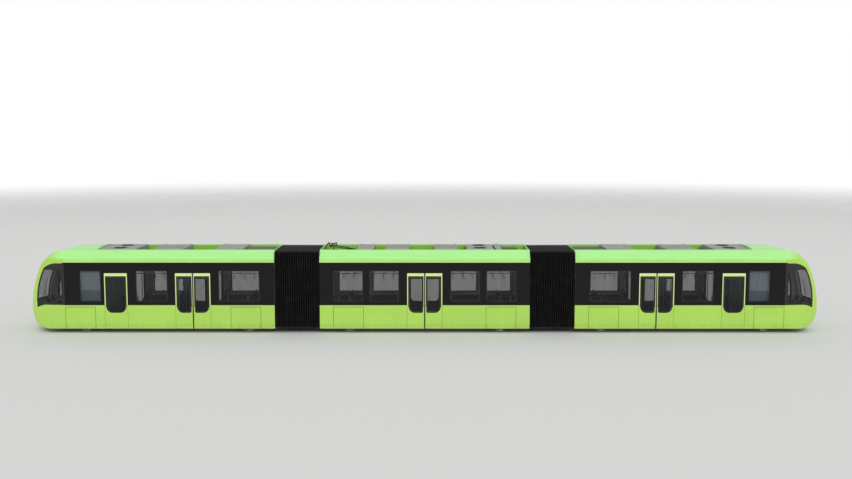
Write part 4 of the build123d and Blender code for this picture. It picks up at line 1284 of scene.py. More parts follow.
@dataclass
class Sides(Assembly):
    """Window and door trim of one section, on both sides: its doorways and windows, from and to."""

    doors: Sequence[Door]
    windows: Sequence[Pair]
    gasket: float = 0.016
    frit: float = 0.045
    leaf_frame: float = 0.062
    leaf_gap: float = 0.006
    leaf_glass_z: Pair = (0.820, 2.215)
    leaf_glass_r: float = 0.240
    seal_half: float = 0.0025
    seal_y: Pair = (BODY.side - 0.030, BODY.side - 0.003)
    button_in: float = 0.036
    button_y: float = BODY.side - 0.0042
    button_z: float = 1.18
    sill: tuple[Pair, Pair] = ((BODY.side - 0.30, BODY.floor_z - 0.0005), (BODY.side - 0.065, BODY.floor_z + 0.003))
    rib_z: Pair = (BODY.floor_z + 0.0025, BODY.floor_z + 0.006)
    ribs_y: Floats = tuple(BODY.side - 0.29 + number * 0.042 for number in range(6))
    PARTS = {
        "gaskets": (Finish.SEAL, "bellows_rubber"),
        "glass_borders": (Finish.BLACK, "dark_band"),
        "door_buttons": (Finish.AMBER, "door_lime"),
        "door_sills": (Finish.RAIL, "rail_steel"),
    }

    def leaves(self) -> list[tuple[float, float, Pair]]:
        """Places the leaves.

        Returns:
            Each leaf's span and the radii of its glass's low corners.
        """
        spans = []
        wide = self.leaf_glass_r
        for door in self.doors:
            low, high = door.edges[0] + self.leaf_gap, door.edges[1] - self.leaf_gap
            if door.leaves == 1:
                spans.append((low, high, (wide, wide)))
                continue
            spans.append((low, door.x - self.leaf_gap / 2, (wide, WINDOW_R)))
            spans.append((door.x + self.leaf_gap / 2, high, (WINDOW_R, wide)))
        return spans

    def ring(self, part: str, outer: Outline, inner: Outline, y: float, depth: float) -> None:
        """Adds a flat ring on both sides of the tram.

        Args:
            part: Where it goes.
            outer: Outer edge, along and up.
            inner: Inner edge, along and up.
            y: Distance of its shown face from the middle.
            depth: Its thickness, inwards.
        """
        for way in WAYS:
            self[part].frame(
                [(x, way * y, z) for x, z in outer], [(x, way * y, z) for x, z in inner],
                (0, -way * depth, 0))

    def glazing(self) -> None:
        """Adds a rubber gasket and a printed border round every pane."""
        holes = [(low, high, *WINDOW_Z, [WINDOW_R] * 4) for low, high in self.windows]
        holes += [
            (low + self.leaf_frame, high - self.leaf_frame, *self.leaf_glass_z, [*low_radii, WINDOW_R, WINDOW_R])
            for low, high, low_radii in self.leaves()]
        for hole in holes:
            edge = rounded(*hole)
            lip = shrunk(edge, self.gasket)
            self.ring("gaskets", shrunk(edge, 0.0006), lip, BODY.side - 0.0008, 0.0030)
            self.ring(
                "glass_borders", lip, shrunk(edge, self.frit),
                BODY.side - BODY.glass_sink + 0.0005, 0.0004)

    def seals(self, door: Door) -> None:
        """Adds the rubber lips between a door's leaves and posts.

        Args:
            door: The doorway.
        """
        places = [door.edges[0] + self.leaf_gap / 2, door.edges[1] - self.leaf_gap / 2]
        if door.leaves == 2:
            places.append(door.x)
        for x in places:
            for way in WAYS:
                self["gaskets"].box(
                    (x - self.seal_half, way * self.seal_y[0], BODY.tuck_z),
                    (x + self.seal_half, way * self.seal_y[1], BODY.door_top_z), 0.0008)

    def fittings(self, door: Door) -> None:
        """Adds a door's buttons and its ribbed sills.

        Args:
            door: The doorway.
        """
        low, high = door.edges
        (near, foot), (far, top) = self.sill
        x = (door.x if door.leaves == 2 else low) + self.button_in
        for way in WAYS:
            self["door_buttons"].fit(Turned.DOOR_BUTTON, (x, way * self.button_y, self.button_z), (0, way, 0))
            self["door_sills"].box((low + 0.02, way * near, foot), (high - 0.02, way * far, top), 0.001)
            for y in self.ribs_y:
                self["door_sills"].box(
                    (low + 0.03, way * y, self.rib_z[0]),
                    (high - 0.03, way * (y + 0.012), self.rib_z[1]), 0.001)

    def shape(self) -> None:
        """Adds the trim of every window and door."""
        self.glazing()
        for door in self.doors:
            self.seals(door)
            self.fittings(door)


@dataclass
class NoseTrim(Assembly):
    """Borders, wipers, lamps, blank display and seams of one nose."""

    nose: Nose = Nose()
    screen_corners: Pairs = ((-0.860, 1.120), (0.860, 1.120), (0.900, 2.740), (-0.900, 2.740))
    screen_r: float = 0.160
    pitch: float = 0.08
    border: float = 0.062
    border_top_z: float = 2.530
    gasket: Pair = (0.001, 0.016)
    cab_chin: Pairs = ((0.900, 0.0), (0.640, -0.030), (0.430, -0.125))
    cab_brow: Pairs = ((0.470, -0.995), (0.760, -0.195), (1.000, -0.050), (1.300, 0.0))
    cab_z: Pair = (BODY.belt_z + 0.010, BODY.band_top_z - 0.030)
    cab_post_x: float = Nose.taper_x + 0.050
    hatch: Floats = (-0.380, 0.380, 0.400, 0.655)
    seam: float = 0.006
    wiper_pivot: Pair = (0.500, 1.085)
    wiper_head: Pair = (0.610, 1.600)
    blade_z: Pair = (1.250, 1.950)
    blade_bars: tuple[tuple[float, float, int], ...] = ((0.011, 0.008, 8), (0.004, 0.003, 6))
    lamp_y: float = 0.700
    lamp_z: float = 0.720
    lamp_half: Pair = (0.150 - 0.004, 0.065 - 0.004)
    lamp_corner: float = 0.130 / 3
    housing_out: Pair = (-0.041, -0.034)
    bowls_y: Pair = (-0.088, 0.0)
    leds_y: Floats = tuple(0.070 + 0.022 * step for step in range(3))
    case: Points = ((0.560, -0.640, 2.460), (0.440, 0.640, 2.690))
    face: Points = ((0.441, -0.600, 2.485), (0.436, 0.600, 2.665))
    PARTS = {
        "cab_gaskets": (Finish.SEAL, "bellows_rubber"),
        "cab_glass_borders": (Finish.BLACK, "dark_band"),
        "coupler_hatch_seam": (Finish.SEAL, "bellows_rubber"),
        "wiper_arms": (Finish.BLACK, "dark_band"),
        "wiper_blades": (Finish.SEAL, "bellows_rubber"),
        "lamp_housings": (Finish.BLACK, "lamp_glass"),
        "lamp_bowls": (Finish.RAIL, "lamp_glass"),
        "lamp_beams": (Finish.WHITE, "lamp_glass"),
        "lamp_ambers": (Finish.AMBER, "lamp_glass"),
        "lamp_reds": (Finish.RED, "lamp_glass"),
        "display_case": (Finish.BLACK, "cab_plastic"),
        "display_face": (Finish.BLANK_DISPLAY_GLOW, "cab_plastic"),
    }

    def screen(self) -> list[Pair]:
        """Gives the windscreen's outline.

        Returns:
            Its points, across and up.
        """
        corners = [Vector(corner) for corner in self.screen_corners]
        made = []
        for number, here in enumerate(corners):
            back = (corners[number - 1] - here).normalized()
            ahead = (corners[(number + 1) % len(corners)] - here).normalized()
            half = back.angle(ahead) / 2
            middle = here + (back + ahead).normalized() * self.screen_r / sin(half)
            start = degrees(phase(complex(-back.y, back.x)))
            made += arc(middle, self.screen_r, start, start + 180 - degrees(2 * half), CORNER_STEPS)
        return dense(made, self.pitch)

    def cab_pane(self) -> list[Pair]:
        """Gives the outline of the cab's side glass.

        Returns:
            Its points, along and up.
        """
        low, top = self.cab_z
        rim = [(BODY.nose_x - back, low + rise) for back, rise in self.cab_chin]
        rim += [(BODY.nose_x - back, top + rise) for back, rise in self.cab_brow]
        curve = arc_through(*rim[0:3], 8) + arc_through(*rim[2:5], 12)[1:] + arc_through(*rim[4:7], 12)[1:]
        return dense([*curve, (self.cab_post_x, top), (self.cab_post_x, low)], self.pitch)

    def ring(
            self, part: str, surface: Callable[..., Vector], edge: Outline, insets: Pair, out: float,
            depth: float, top: float = BODY.fairing_z) -> None:
        """Adds a ring that lies in the nose's surface.

        Args:
            part: Where it goes.
            surface: Gives a point of the surface from two coordinates and a distance off it.
            edge: Outline of the opening.
            insets: Outer and inner edge of the ring, inwards from the opening.
            out: How far its shown face lies off the surface.
            depth: Its thickness.
            top: Height that the inner edge stays under.
        """
        outer = shrunk(edge, insets[0])
        inner = [(place, min(z, top)) for place, z in shrunk(edge, insets[1])]
        rows = [
            [surface(*point, off) for point in points]
            for points, off in ((outer, out - depth), (outer, out), (inner, out), (inner, out - depth))]
        self[part].loft([*rows, rows[0]], caps=False)

    def borders(self) -> None:
        """Adds the rubber gaskets, the printed borders and the seam of the coupler's hatch."""
        places = [(self.nose.before, self.screen(), BODY.fairing_z)]
        places += [(partial(self.nose.beside, way=way), self.cab_pane(), self.border_top_z) for way in WAYS]
        for surface, edge, top in places:
            self.ring("cab_gaskets", surface, edge, self.gasket, -0.0008, 0.003)
            self.ring("cab_glass_borders", surface, edge, (self.gasket[1], self.border), -0.0026, 0.0005, top)
        hatch = dense(rounded(*self.hatch, [0.05] * 4), 0.06)
        self.ring("coupler_hatch_seam", self.nose.before, hatch, (0.0, self.seam), 0.0004, 0.002)

    def wipers(self) -> None:
        """Adds both wipers, parked upright."""
        (y, z), (head_y, head_z) = self.wiper_pivot, self.wiper_head
        for way in WAYS:
            foot = self.nose.before(way * y, z)
            self["wiper_arms"].fit(Turned.WIPER_FOOT, foot, self.nose.before(way * y, z, 1.0) - foot)
            self["wiper_arms"].tube([
                self.nose.before(
                    way * (y + (head_y - y) * share), z + (head_z - z) * share,
                    0.018 + 0.006 * sin(pi * share))
                for share in spread(0, 1, 5)], 0.007, 8)
            for out, radius, sides in self.blade_bars:
                blade = [self.nose.before(way * head_y, height, out) for height in spread(*self.blade_z, 13)]
                self["wiper_blades"].tube(blade, radius, sides)

    def lamp(self, way: int) -> None:
        """Adds what shows through the cover of one side's lamps.

        Args:
            way: Side of the tram.
        """
        half_y, half_z = self.lamp_half
        low_y, high_y = sorted((way * (self.lamp_y - half_y), way * (self.lamp_y + half_y)))
        edge = dense(rounded(
            low_y, high_y, self.lamp_z - half_z, self.lamp_z + half_z, [self.lamp_corner] * 4), 0.03)
        self["lamp_housings"].loft([[self.nose.before(*point, out) for point in edge] for out in self.housing_out])
        for offset in self.bowls_y:
            y = way * (self.lamp_y + offset)
            foot = self.nose.before(y, self.lamp_z, -0.033)
            ahead = self.nose.before(y, self.lamp_z, 1.0) - foot
            self["lamp_bowls"].fit(Turned.LAMP_BOWL, foot, ahead)
            self["lamp_beams"].fit(Turned.LAMP_BEAM, foot, ahead)
        for part, rise in (("lamp_ambers", 0.015), ("lamp_reds", -0.022)):
            for offset in self.leds_y:
                y = way * (self.lamp_y + offset)
                ahead = self.nose.before(y, self.lamp_z, 1.0) - self.nose.before(y, self.lamp_z)
                self[part].fit(Turned.LED, self.nose.before(y, self.lamp_z + rise, -0.032), ahead)

    def shape(self) -> None:
        """Adds everything on the nose, and the blank display behind the windscreen's top."""
        self.borders()
        self.wipers()
        for way in WAYS:
            self.lamp(way)
        for part, corners, soften in (("display_case", self.case, 0.012), ("display_face", self.face, 0.002)):
            low, high = ((BODY.nose_x - back, y, z) for back, y, z in corners)
            self[part].box(low, high, soften)


@dataclass
class CoverLatches(Assembly):
    """Quarter-turn latches at the top corners of the wheel covers over axles, and black plates as painted shade of
    their pull slots.
    """

    axles: Sequence[float]
    reach: float = 0.600 - 0.055
    latch: Floats = (0.022, 1.015 - 0.014, 1.015 + 0.014, 0.0002, 0.004)
    # Black plate standing in for the shade inside a pull slot: painted shade.
    slot: Floats = (0.012, 0.222, 0.246, -0.0022, 0.008)
    PARTS = {"latches_and_slot_shades": (Finish.BLACK, "dark_band")}

    def shape(self) -> None:
        """Adds the latches of both sides, and the black plates of painted slot shade on the skirt's slope."""
        slot_shade_z = (self.slot[1] + self.slot[2]) / 2
        slope = BODY.skirt_tuck * (BODY.tuck_z - slot_shade_z) / (BODY.tuck_z - BODY.skirt_z)
        for x in self.axles:
            for way in WAYS:
                for place in (x - self.reach, x + self.reach):
                    for (half, low, high, sink, depth), inward in ((self.latch, 0.0), (self.slot, slope)):
                        y = way * (BODY.side - inward - sink)
                        edge = rounded(place - half, place + half, low, high, [0.010] * 4)
                        self["latches_and_slot_shades"].plate([(u, y, w) for u, w in edge], (0, -way * depth, 0))


class Kind(Enum):
    """Kinds of cover on the roof, each with the height of its top."""

    PLAIN = ("plain", 3.320)
    GROOVED = ("grooved", 3.310)
    FANS = ("fans", 3.320)
    FINS = ("fins", 3.240)


@dataclass(frozen=True)
class Unit:
    """One cover on the roof: from, to and kind."""

    low: float
    high: float
    kind: Kind

    @property
    def top(self) -> float:
        """Height of its top."""
        return self.kind.value[1]


DOME_X = BODY.nose_x - 2.830
COVER_END = BODY.inner_x + 2.410
COOLER_X = DOME_X - 1.500
HEATER_LENGTH = 1.180
HEATER_X = COVER_END + 0.65 * (COOLER_X - COVER_END - HEATER_LENGTH)
MID_UNITS = (
    Unit(-BODY.mid_half + 1.455, -BODY.mid_half + 2.125, Kind.PLAIN),
    Unit(-BODY.mid_half + 2.565, -BODY.mid_half + 3.545, Kind.GROOVED),
    Unit(BODY.mid_half - 3.775, BODY.mid_half - 2.825, Kind.GROOVED),
    Unit(BODY.mid_half - 2.475, BODY.mid_half - 1.405, Kind.FANS),
    Unit(BODY.mid_half - 1.325, BODY.mid_half - 1.095, Kind.PLAIN),
    Unit(BODY.mid_half - 1.075, BODY.mid_half - 0.355, Kind.FINS),
)
FORE_UNITS = (
    Unit(BODY.inner_x + 0.160, BODY.inner_x + 1.240, Kind.FINS),
    Unit(BODY.inner_x + 1.300, COVER_END, Kind.PLAIN),
    Unit(HEATER_X, HEATER_X + HEATER_LENGTH, Kind.GROOVED),
    Unit(COOLER_X, DOME_X - 0.030, Kind.FANS),
)


@dataclass
class RoofFittings(Assembly):
    """Screws, eyes, louvres, fan guards, conduits and leads of one section's roof, over its span."""

    units: Sequence[Unit]
    span: Pair
    unit_half: float = 0.950
    chamfer: float = 0.070
    eye_in: Pair = (0.09, 0.16)
    eye_r: float = 0.022
    louvre_length: float = 0.6
    louvres_z: Floats = tuple(3.000 + number * 0.036 for number in range(5))
    slat: Pairs = ((-0.002, 0.0), (0.012, -0.010), (0.012, -0.006), (-0.002, 0.010))
    fan_r: float = 0.260
    guard_shares: Floats = (0.3, 0.48, 0.66, 0.84, 1.02)
    spokes: int = 8
    spoke_span: Pair = (0.07, 0.260 * 1.04)
    duct_y: float = 0.974
    duct_rises: Pair = (0.025, 0.062)
    clip_half: Pair = (0.012, 0.021)
    clip_z: Pair = (BODY.deck_z - 0.001, BODY.deck_z + 0.082)
    leads_y: Floats = (-0.62, -0.50, -0.42, 0.38, 0.46, 0.58)
    lead_z: float = 3.02
    lead_sink: float = 0.01
    PARTS = {
        "roof_fixings": (Finish.RAIL, "rail_steel"),
        "roof_louvres": (Finish.ROOF_COVER, "roof_grey"),
        "fan_guards": (Finish.BLACK, "roof_grey"),
        "roof_conduits": (Finish.GEAR, "roof_grey"),
        "conduit_clips": (Finish.RAIL, "rail_steel"),
        "roof_leads": (Finish.SEAL, "bellows_rubber"),
    }

    def screws(self, unit: Unit) -> None:
        """Adds screw heads along a cover's chamfers.

        Args:
            unit: The cover.
        """
        y, z = self.unit_half - self.chamfer / 2, unit.top - self.chamfer / 2
        count = max(2, round((unit.high - unit.low) / 0.25))
        for x in spread(unit.low + 0.05, unit.high - 0.05, count):
            for way in WAYS:
                self["roof_fixings"].fit(Turned.ROOF_SCREW, (x, way * y, z), (0, way, 1))

    def eyes(self, unit: Unit) -> None:
        """Adds lifting eyes at a cover's corners.

        Args:
            unit: The cover.
        """
        for x in (unit.low + self.eye_in[0], unit.high - self.eye_in[0]):
            for way in WAYS:
                y = way * (self.unit_half - self.eye_in[1])
                ring = [(x + u, y, unit.top + 0.018 + w) for u, w in circle(self.eye_r, 14)]
                self["roof_fixings"].tube(ring, 0.006, 6)
                self["roof_fixings"].fit(Turned.EYE_FOOT, (x, y, unit.top), (0, 0, 1))

    def louvres(self, unit: Unit) -> None:
        """Adds slatted vents in a cover's sides.

        Args:
            unit: The cover.
        """
        half = min(self.louvre_length, unit.high - unit.low - 0.2) / 2
        middle = (unit.low + unit.high) / 2
        for way in WAYS:
            for z in self.louvres_z:
                self["roof_louvres"].loft([
                    [(x, way * (self.unit_half + out), z + rise) for out, rise in self.slat]
                    for x in (middle - half, middle + half)])

    def guards(self, unit: Unit) -> None:
        """Adds a wire guard over each fan.

        Args:
            unit: The cover.
        """
        middle, z = (unit.low + unit.high) / 2, unit.top + 0.006
        for way in WAYS:
            y = way * self.unit_half / 2
            wires = [circle(self.fan_r * share, 32) for share in self.guard_shares]
            for number in range(self.spokes):
                turn = 2 * pi * number / self.spokes
                wires.append([(radius * cos(turn), radius * sin(turn)) for radius in self.spoke_span])
            for wire in wires:
                self["fan_guards"].tube([(middle + u, y + v, z) for u, v in wire], 0.004, 6)

    def ducts(self) -> None:
        """Adds conduits along both sides of the deck, with their clips."""
        low, high = self.span
        half_x, half_y = self.clip_half
        for way in WAYS:
            for rise in self.duct_rises:
                ends = [(x, way * self.duct_y, BODY.deck_z + rise) for x in self.span]
                self["roof_conduits"].tube(ends, 0.016, 12)
            for x in spread(low + 0.2, high - 0.2, int((high - low) / 0.45)):
                self["conduit_clips"].box(
                    (x - half_x, way * (self.duct_y - half_y), self.clip_z[0]),
                    (x + half_x, way * (self.duct_y + half_y), self.clip_z[1]), 0.003)

    def leads(self) -> None:
        """Adds sagging leads across the gaps between units."""
        for first, second in zip(self.units, self.units[1:]):
            low, high = first.high, second.low
            if high - low < 0.15:
                continue
            for number, y in enumerate(self.leads_y):
                sag = 0.05 + 0.012 * (number % 3)
                length = high - low + 2 * self.lead_sink
                self["roof_leads"].tube([
                    (low - self.lead_sink + length * share, y, self.lead_z - 4 * sag * share * (1 - share))
                    for share in spread(0, 1, 11)], 0.012 + 0.003 * (number % 2), 8)
                for x, out in ((low, 1), (high, -1)):
                    self["roof_leads"].fit(Turned.LEAD_GLAND, (x, y, self.lead_z), (out, 0, 0))

    def shape(self) -> None:
        """Adds every fitting of the roof."""
        for unit in self.units:
            if unit.kind is Kind.FINS:
                continue
            self.screws(unit)
            self.louvres(unit)
            if unit.kind is Kind.FANS:
                self.guards(unit)
            else:
                self.eyes(unit)
        self.ducts()
        self.leads()


@dataclass(frozen=True)
class SeatRow:
    """A pair of seats: foot of the back, way they face, height of what carries them."""

    x: float
    way: int
    low: float


PODIUM_Z = 0.740
SEAT_Z = BODY.floor_z + 0.360
MID_SEATS = (
    *(SeatRow(x, way, PODIUM_Z) for x in (-MID_AXLE, MID_AXLE) for way in WAYS),
    *(SeatRow(way * 1.050, way, SEAT_Z) for way in WAYS),
)
FORE_SEATS = (
    *(SeatRow(INNER_AXLE, way, PODIUM_Z) for way in WAYS),
    SeatRow(FORE_DOORS[0].edges[0] - 0.135, -1, SEAT_Z),
    SeatRow(FORE_DOORS[0].edges[1] + 0.155, 1, SEAT_Z),
    SeatRow(FORE_DOORS[1].edges[0] - 0.190, -1, SEAT_Z),
)


@dataclass
class Seats(Assembly):
    """Moulded seat shells with cushions, as sections lofted across their width.

    The profiles run forward of the back's foot and up from the seat's foot. The section has a
    driver's seat where driver_x gives the foot of its back.
    """

    rows: Sequence[SeatRow]
    driver_x: float | None
    span: Pair = (0.700, 1.265)
    shell: Pairs = (
        (0.424, 0.000), (0.430, 0.016), (0.420, 0.032), (0.150, 0.022), (0.085, 0.040), (0.056, 0.090),
        (0.034, 0.340), (0.022, 0.600), (0.014, 0.636), (0.004, 0.630), (0.003, 0.560), (0.010, 0.300),
        (0.026, 0.070), (0.060, 0.008),
    )
    pan: Pairs = (
        (0.404, 0.028), (0.417, 0.040), (0.409, 0.055), (0.370, 0.062), (0.322, 0.064), (0.316, 0.058),
        (0.310, 0.063), (0.240, 0.060), (0.160, 0.055), (0.124, 0.050), (0.114, 0.040), (0.130, 0.026),
    )
    back: Pairs = (
        (0.062, 0.086), (0.088, 0.089), (0.096, 0.108), (0.088, 0.200), (0.082, 0.262), (0.075, 0.268),
        (0.081, 0.274), (0.074, 0.400), (0.060, 0.540), (0.048, 0.588), (0.034, 0.600), (0.028, 0.580),
        (0.036, 0.340),
    )
    head: Pairs = (
        (0.030, 0.0), (0.070, 0.01), (0.072, 0.10), (0.050, 0.14), (0.026, 0.13), (0.020, 0.02))
    rounding: Pairs = ((0.0, 0.86), (0.006, 0.96), (0.018, 1.0))
    crowning: Pairs = (
        (0.0, 0.70), (0.005, 0.86), (0.014, 0.95), (0.045, 1.0), (0.13, 1.03), (0.22, 1.04))
    pad_in: float = 0.022
    grip_at: Point = (0.012, 0.014, 0.636)
    grip: Pairs = (
        (0.0, -0.10), (-0.030, -0.085), (-0.034, -0.010), (-0.016, 0.016), (0.090, 0.018), (0.105, -0.01))
    brackets_x: Pair = (0.10, 0.33)
    bracket: Points = ((-0.020, 0.800, -0.050), (0.020, 1.2645, 0.006))
    strut: Pairs = ((0.820, -0.045), (1.261, -0.260))
    driver_z: float = 1.140
    driver_half: float = 0.260
    head_at: Pair = (-0.012, 1.790)
    head_half: float = 0.130
    stalk: Points = ((0.030, 0.05, 1.70), (0.030, 0.05, 1.84))
    rest: Points = ((0.060, 0.275, 1.330), (0.340, 0.325, 1.362))
    rest_bar: Points = ((0.040, 0.262, 1.340), (0.130, 0.300, 1.345))
    pedestal_at: Point = (0.215, 0.0, 0.780)
    PARTS = {
        "seat_shells": (Finish.SEAT, "seat_plastic"),
        "seat_cushions": (Finish.CLOTH, "seat_plastic"),
        "seat_frames": (Finish.RAIL, "rail_steel"),
    }

    def across(
            self, part: str, profile: Outline, row: SeatRow, low_y: float, high_y: float,
            rounding: Sequence[Pair]) -> None:
        """Lofts a profile across a seat, rounded at both sides.

        Args:
            part: Where it goes.
            profile: Points forward and up.
            row: The row it belongs to.
            low_y: One side.
            high_y: The other side.
            rounding: Distances in from each side, with the size of the profile there.
        """
        heart = Vector((sum(point[0] for point in profile), sum(point[1] for point in profile))) / len(profile)
        ends = [(low_y + gap, share) for gap, share in rounding if gap < (high_y - low_y) / 2]
        ends += [(high_y - gap, share) for gap, share in reversed(rounding) if gap < (high_y - low_y) / 2]
        sections = []
        for y, share in ends:
            places = [heart + (Vector(point) - heart) * share for point in profile]
            sections.append([(row.x + row.way * (place.x + 0.0005), y, row.low + place.y) for place in places])
        self[part].loft(sections)

    def seat(self, row: SeatRow, low_y: float, high_y: float) -> None:
        """Adds one seat with its two cushions.

        Args:
            row: Its row.
            low_y: One side.
            high_y: The other side.
        """
        self.across("seat_shells", self.shell, row, low_y, high_y, self.rounding)
        for profile in (self.pan, self.back):
            self.across("seat_cushions", profile, row, low_y + self.pad_in, high_y - self.pad_in, self.crowning)

    def carry(self, row: SeatRow, way: int) -> None:
        """Adds a seat's grip at the aisle and, off the wheel boxes, its brackets on the wall.

        Args:
            row: The seat's row.
            way: Side of the tram.
        """
        metal = self["seat_frames"]
        ahead, inward, rise = self.grip_at
        x, aisle, top = row.x + row.way * ahead, way * (self.span[0] + inward), row.low + rise
        metal.tube([(x, aisle + way * v, top + w) for v, w in self.grip], 0.010, 8)
        if row.low <= PODIUM_Z:
            return
        for place in self.brackets_x:
            foot = row.x + row.way * place
            low, high = ((foot + u, way * v, row.low + w) for u, v, w in self.bracket)
            metal.box(low, high, 0.006)
            metal.tube([(foot, way * v, row.low + w) for v, w in self.strut], 0.014, 8)

    def driver(self, x: float) -> None:
        """Adds the driver's seat with its headrest, arms and pedestal.

        Args:
            x: Foot of its back.
        """
        metal = self["seat_frames"]
        self.seat(SeatRow(x, 1, self.driver_z), -self.driver_half, self.driver_half)
        head = SeatRow(x + self.head_at[0], 1, self.head_at[1])
        self.across("seat_cushions", self.head, head, -self.head_half, self.head_half, self.crowning)
        for way in WAYS:
            stalk, rest, bar = (
                [(x + u, way * v, w) for u, v, w in points] for points in (self.stalk, self.rest, self.rest_bar))
            metal.tube(stalk, 0.007, 8)
            self["seat_shells"].box(*rest, 0.012)
            metal.tube(bar, 0.010, 8)
        metal.fit(Turned.PEDESTAL, Vector((x, 0.0, 0.0)) + Vector(self.pedestal_at), (0, 0, 1))

    def shape(self) -> None:
        """Adds every seat."""
        for row in self.rows:
            for way in WAYS:
                self.seat(row, *sorted(way * y for y in self.span))
                self.carry(row, way)
        if self.driver_x is not None:
            self.driver(self.driver_x)

    def build(self, palette: Palette) -> list[Object]:
        """Makes the shells, cushions and frames, in place of the plain seats.

        Args:
            palette: Every finish.

        Returns:
            The pieces.
        """
        name = self.name
        shell, pad, frames = super().build(palette)
        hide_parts(f"{name}_seats")
        return [shell, pad, frames]


@dataclass
class Saloon(Assembly):
    """Ceiling lamps, air channel, rail brackets, straps and pole feet of one saloon, over its span."""

    doors: Sequence[Door]
    span: Pair
    rail_y: float = 0.590
    rail_z: float = 2.300
    rail_r: float = 0.017
    ceiling_z: float = 2.825
    top_z: float = 2.825 + 0.001
    end_gap: float = 0.15
    lamp_y: Pair = (0.300, 0.390)
    lamp_depth: float = 0.012
    channel_half: float = 0.150
    channel_depth: float = 0.016
    slot_pitch: float = 0.12
    slot_size: Pair = (0.05, 0.110)
    slot_depths: Pair = (0.0168, 0.012)
    strap_pitch: float = 0.4
    strap: Points = ((-0.012, -0.002, -0.150), (0.012, 0.002, -0.018))
    grip_z: float = -0.148
    grip: Pairs = (
        (-0.05, 0.0), (0.05, 0.0), (0.058, -0.02), (0.045, -0.072), (0.03, -0.084),
        (-0.03, -0.084), (-0.045, -0.072), (-0.058, -0.02), (-0.05, 0.0))
    PARTS = {
        "ceiling_lamps": (Finish.CEILING, "cab_plastic"),
        "air_channel": (Finish.LINING, "cab_plastic"),
        "air_slot_shades": (Finish.BLACK, "cab_plastic"),
        "rail_brackets": (Finish.RAIL, "rail_steel"),
        "straps": (Finish.SEAL, "bellows_rubber"),
        "strap_grips": (Finish.BLACK, "cab_plastic"),
    }

    def hang(self, x: float, way: int) -> None:
        """Adds one hanging strap with its grip.

        Args:
            x: Its place along the tram.
            way: Side of the tram.
        """
        y, z = way * self.rail_y, self.rail_z
        loop = [(x, y + v, z + w) for v, w in circle(self.rail_r + 0.003, 12)]
        self["straps"].tube(loop, 0.004, 6)
        low, high = ((x + u, y + v, z + w) for u, v, w in self.strap)
        self["straps"].box(low, high, 0.001)
        self["strap_grips"].tube([(x + u, y, z + self.grip_z + w) for u, w in self.grip], 0.007, 6)

    def ceiling(self) -> None:
        """Adds the ceiling's lamps and its air channel, with black plates as painted shade of its slots."""
        low, high = self.span[0] + self.end_gap, self.span[1] - self.end_gap
        for way in WAYS:
            near, far = sorted(way * y for y in self.lamp_y)
            self["ceiling_lamps"].box(
                (low, near, self.ceiling_z - self.lamp_depth), (high, far, self.top_z), 0.004)
        self["air_channel"].box(
            (low, -self.channel_half, self.ceiling_z - self.channel_depth),
            (high, self.channel_half, self.top_z), 0.005)
        # Black plates stand in for the shade inside the channel's slots: painted shade.
        length, half = self.slot_size
        foot, top = (self.ceiling_z - depth for depth in self.slot_depths)
        for number in range(int((self.span[1] - self.span[0] - 0.5) / self.slot_pitch)):
            x = self.span[0] + 0.25 + self.slot_pitch * number
            self["air_slot_shades"].box((x, -half, foot), (x + length, half, top))

    def rails(self, way: int) -> None:
        """Adds one side's rail brackets and poles' feet.

        Args:
            way: Side of the tram.
        """
        low, high = self.span
        y, metal = way * self.rail_y, self["rail_brackets"]
        for x in spread(low + 0.25, high - 0.25, round((high - low) / 1.1)):
            metal.tube([(x, y, self.rail_z + 0.010), (x, y, self.top_z)], 0.011, 10)
            metal.fit(Turned.BRACKET_FOOT, (x, y, self.top_z), (0, 0, -1))
        for door in self.doors:
            for side in WAYS:
                x = door.x + side * (door.width / 2 + 2 * self.rail_r)
                metal.fit(Turned.POLE_FOOT, (x, y, BODY.floor_z), (0, 0, 1))

    def shape(self) -> None:
        """Adds every fitting of the saloon."""
        low, high = self.span
        self.ceiling()
        for way in WAYS:
            self.rails(way)
            for number in range(int((high - low - 0.8) / self.strap_pitch)):
                self.hang(low + 0.5 + self.strap_pitch * number, way)


